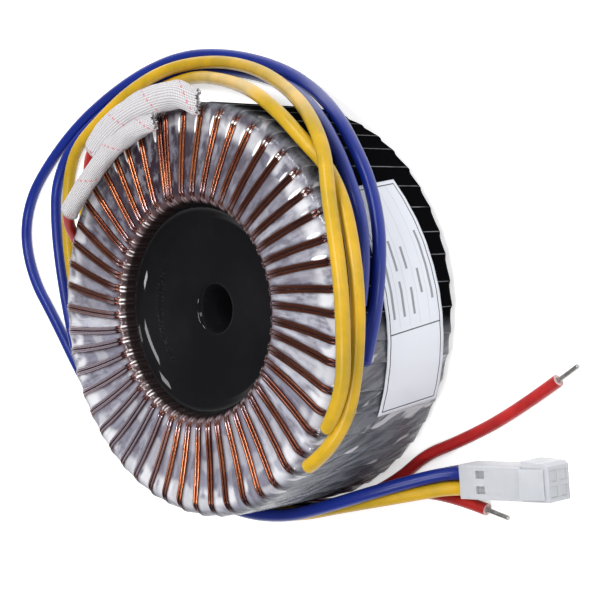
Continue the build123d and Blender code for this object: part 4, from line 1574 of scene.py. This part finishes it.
# ------------------------------------------------------------------ studio
@dataclass
class Studio:
    """The pale floor, the soft lights and the camera."""

    eye: Point = (0.29664, 0.000126, 0.308556)
    aim: Point = (0.0169, 0.000731, 0.020)
    roll: float = -3.959
    lens: float = 95.25
    floor_glow: float = 0.52
    surround: float = 0.45

    def camera(self) -> None:
        """Sets the camera that the rendering uses."""
        data = bpy.data.cameras.new("camera")
        data.lens = self.lens
        data.sensor_width = 36.0
        data.clip_start = 0.01
        camera = link(bpy.data.objects.new("camera", data))
        ahead = (Vector(self.aim) - Vector(self.eye)).normalized()
        right = ahead.cross(Vector((0, 1, 0))).normalized()
        up = right.cross(ahead)
        turn = math.radians(self.roll)
        rolled_right = right * math.cos(turn) + up * math.sin(turn)
        rolled_up = up * math.cos(turn) - right * math.sin(turn)
        basis = Matrix((rolled_right, rolled_up, -ahead)).transposed().to_4x4()
        camera.matrix_world = Matrix.Translation(self.eye) @ basis
        bpy.context.scene.camera = camera

    def lamp(self, name: str, place: Point, size: float, power: float, long: float = 1.0) -> None:
        """Adds a soft light that faces the part.

        Args:
            name: The light's name.
            place: Where it stands, in metres.
            size: Its side in metres.
            power: Its power in watts.
            long: How many times as long as wide it is.
        """
        data = bpy.data.lights.new(name, "AREA")
        data.shape = "RECTANGLE"
        data.size = size * long
        data.size_y = size
        data.energy = power
        light = link(bpy.data.objects.new(name, data))
        light.location = place
        light.rotation_euler = (Vector((0, 0, 0.02)) - Vector(place)).to_track_quat("-Z", "Y").to_euler()

    def floor(self) -> None:
        """Lays a white floor that keeps the part's shadow."""
        material, board, shader = new_material(
            "studio_floor",
            {"Base Color": (0.85, 0.85, 0.85, 1.0), "Roughness": 0.9, "Specular IOR Level": 0.0},
        )
        path = board.add("ShaderNodeLightPath").outputs
        seen = board.most(path["Is Camera Ray"], path["Is Glossy Ray"], path["Is Transmission Ray"])
        strength = board.times(seen, self.floor_glow)
        glow = board.add("ShaderNodeEmission", {"Color": (1.0, 1.0, 1.0, 1.0), "Strength": strength})
        both = board.add("ShaderNodeAddShader", {0: shader.outputs[0], 1: glow.outputs[0]})
        board.feed(material.node_tree.nodes["Material Output"], both.outputs[0], "Surface")
        side = 3.0
        corners = [(-side, -side, 0), (side, -side, 0), (side, side, 0), (-side, side, 0)]
        floor = mesh_piece("floor", corners, [(0, 1, 2, 3)], material, smooth=False)

    def world(self) -> None:
        """Sets a white surround that lights the part softly."""
        world = bpy.data.worlds.new("studio")
        world.use_nodes = True
        bpy.context.scene.world = world
        board = Board(world.node_tree)
        background = world.node_tree.nodes["Background"]
        path = board.add("ShaderNodeLightPath").outputs
        generated = board.add("ShaderNodeTexCoord").outputs["Generated"]
        height = board.add("ShaderNodeSeparateXYZ", {0: generated}).outputs[2]
        mirrored = board.most(path["Is Glossy Ray"], path["Is Transmission Ray"])
        backdrop = board.times(mirrored, board.span(height, 0.10, 0.45, 0.55, -0.33))
        seen = board.plus(board.times(path["Is Camera Ray"], 1.0 - self.surround), backdrop)
        board.feed(background, board.plus(seen, self.surround), "Strength")
        background.inputs["Color"].default_value = (1.0, 1.0, 1.0, 1.0)

    def build(self) -> None:
        """Sets up the whole studio."""
        self.world()
        self.floor()
        self.lamp("key", (0.17, 0.25, 0.88), 0.15, 4.6, 3.2)
        self.lamp("back", (0.04, 0.68, 0.66), 0.22, 2.6)
        self.lamp("near", (0.26, -0.34, 0.84), 0.16, 2.6)
        self.lamp("side", (0.80, 0.30, 0.50), 0.25, 1.6)
        self.camera()
        bpy.context.scene.view_settings.view_transform = "Standard"


def hidden_layers() -> None:
    """Dresses the core and the layers that the outer winding hides."""
    paper = MouldedFinish("insulation_paper", (0.55, 0.50, 0.38, 1.0), (0.48, 0.43, 0.32, 1.0), 0.6)
    copper = MouldedFinish(
        "buried_copper", (0.30, 0.10, 0.05, 1.0), (0.22, 0.07, 0.03, 1.0), roughness=0.4, metallic=0.4
    )
    steel = MouldedFinish(
        "core_steel", (0.30, 0.31, 0.33, 1.0), (0.24, 0.25, 0.27, 1.0), roughness=0.4, metallic=0.9
    )
    strip = MouldedFinish("strip_film", (0.01, 0.01, 0.012, 1.0), (0.02, 0.02, 0.022, 1.0), 0.3)
    layers = {
        steel: ("steel_core",),
        paper: ("core_insulation", "interwinding_insulation"),
        copper: ("primary_winding", "inner_secondary"),
        strip: ("rim_strip",),
    }
    for finish, nodes in layers.items():
        material = finish.material()
        for node in nodes:
            dress(node, material)


def main() -> None:
    """Builds the transformer and its studio, in order."""
    logging.basicConfig(level=logging.INFO, format="%(message)s")
    for colour in LeadColour:
        FINISHES[colour] = colour.value.material()
    hidden_layers()
    winding = OuterWinding()
    winding.build()
    ClearWrap(winding).build()
    PottedCentre().build()
    RatingLabel().build()
    braid = BraidFinish().material()
    upper = BraidedSleeve(
        "upper_braid", "upper_sleeve", RED_A,
        reach=46.0, width=7.3, height=4.4, mouth_width=6.6, mouth_height=1.6, overhang=3.0, settle=2.6,
    ).build(braid)
    lower = BraidedSleeve(
        "lower_braid", "lower_sleeve", RED_B,
        reach=44.0, width=5.4, height=4.2, mouth_width=4.6, mouth_height=1.8, overhang=3.2, settle=0.2,
    ).build(braid)
    housing = WireConnector().build()
    tip_a = dress("red_a_conductor", FINISH_TIN.material())
    tip_b = dress("red_b_conductor", FINISH_TIN.material())
    for lead in (YELLOW_A, YELLOW_B, BLUE_A, BLUE_B):
        lead.build(housing)
    RED_A.build([upper, tip_a])
    RED_B.build([lower, tip_b])
    Studio().build()


if __name__ == "__main__":
    main()
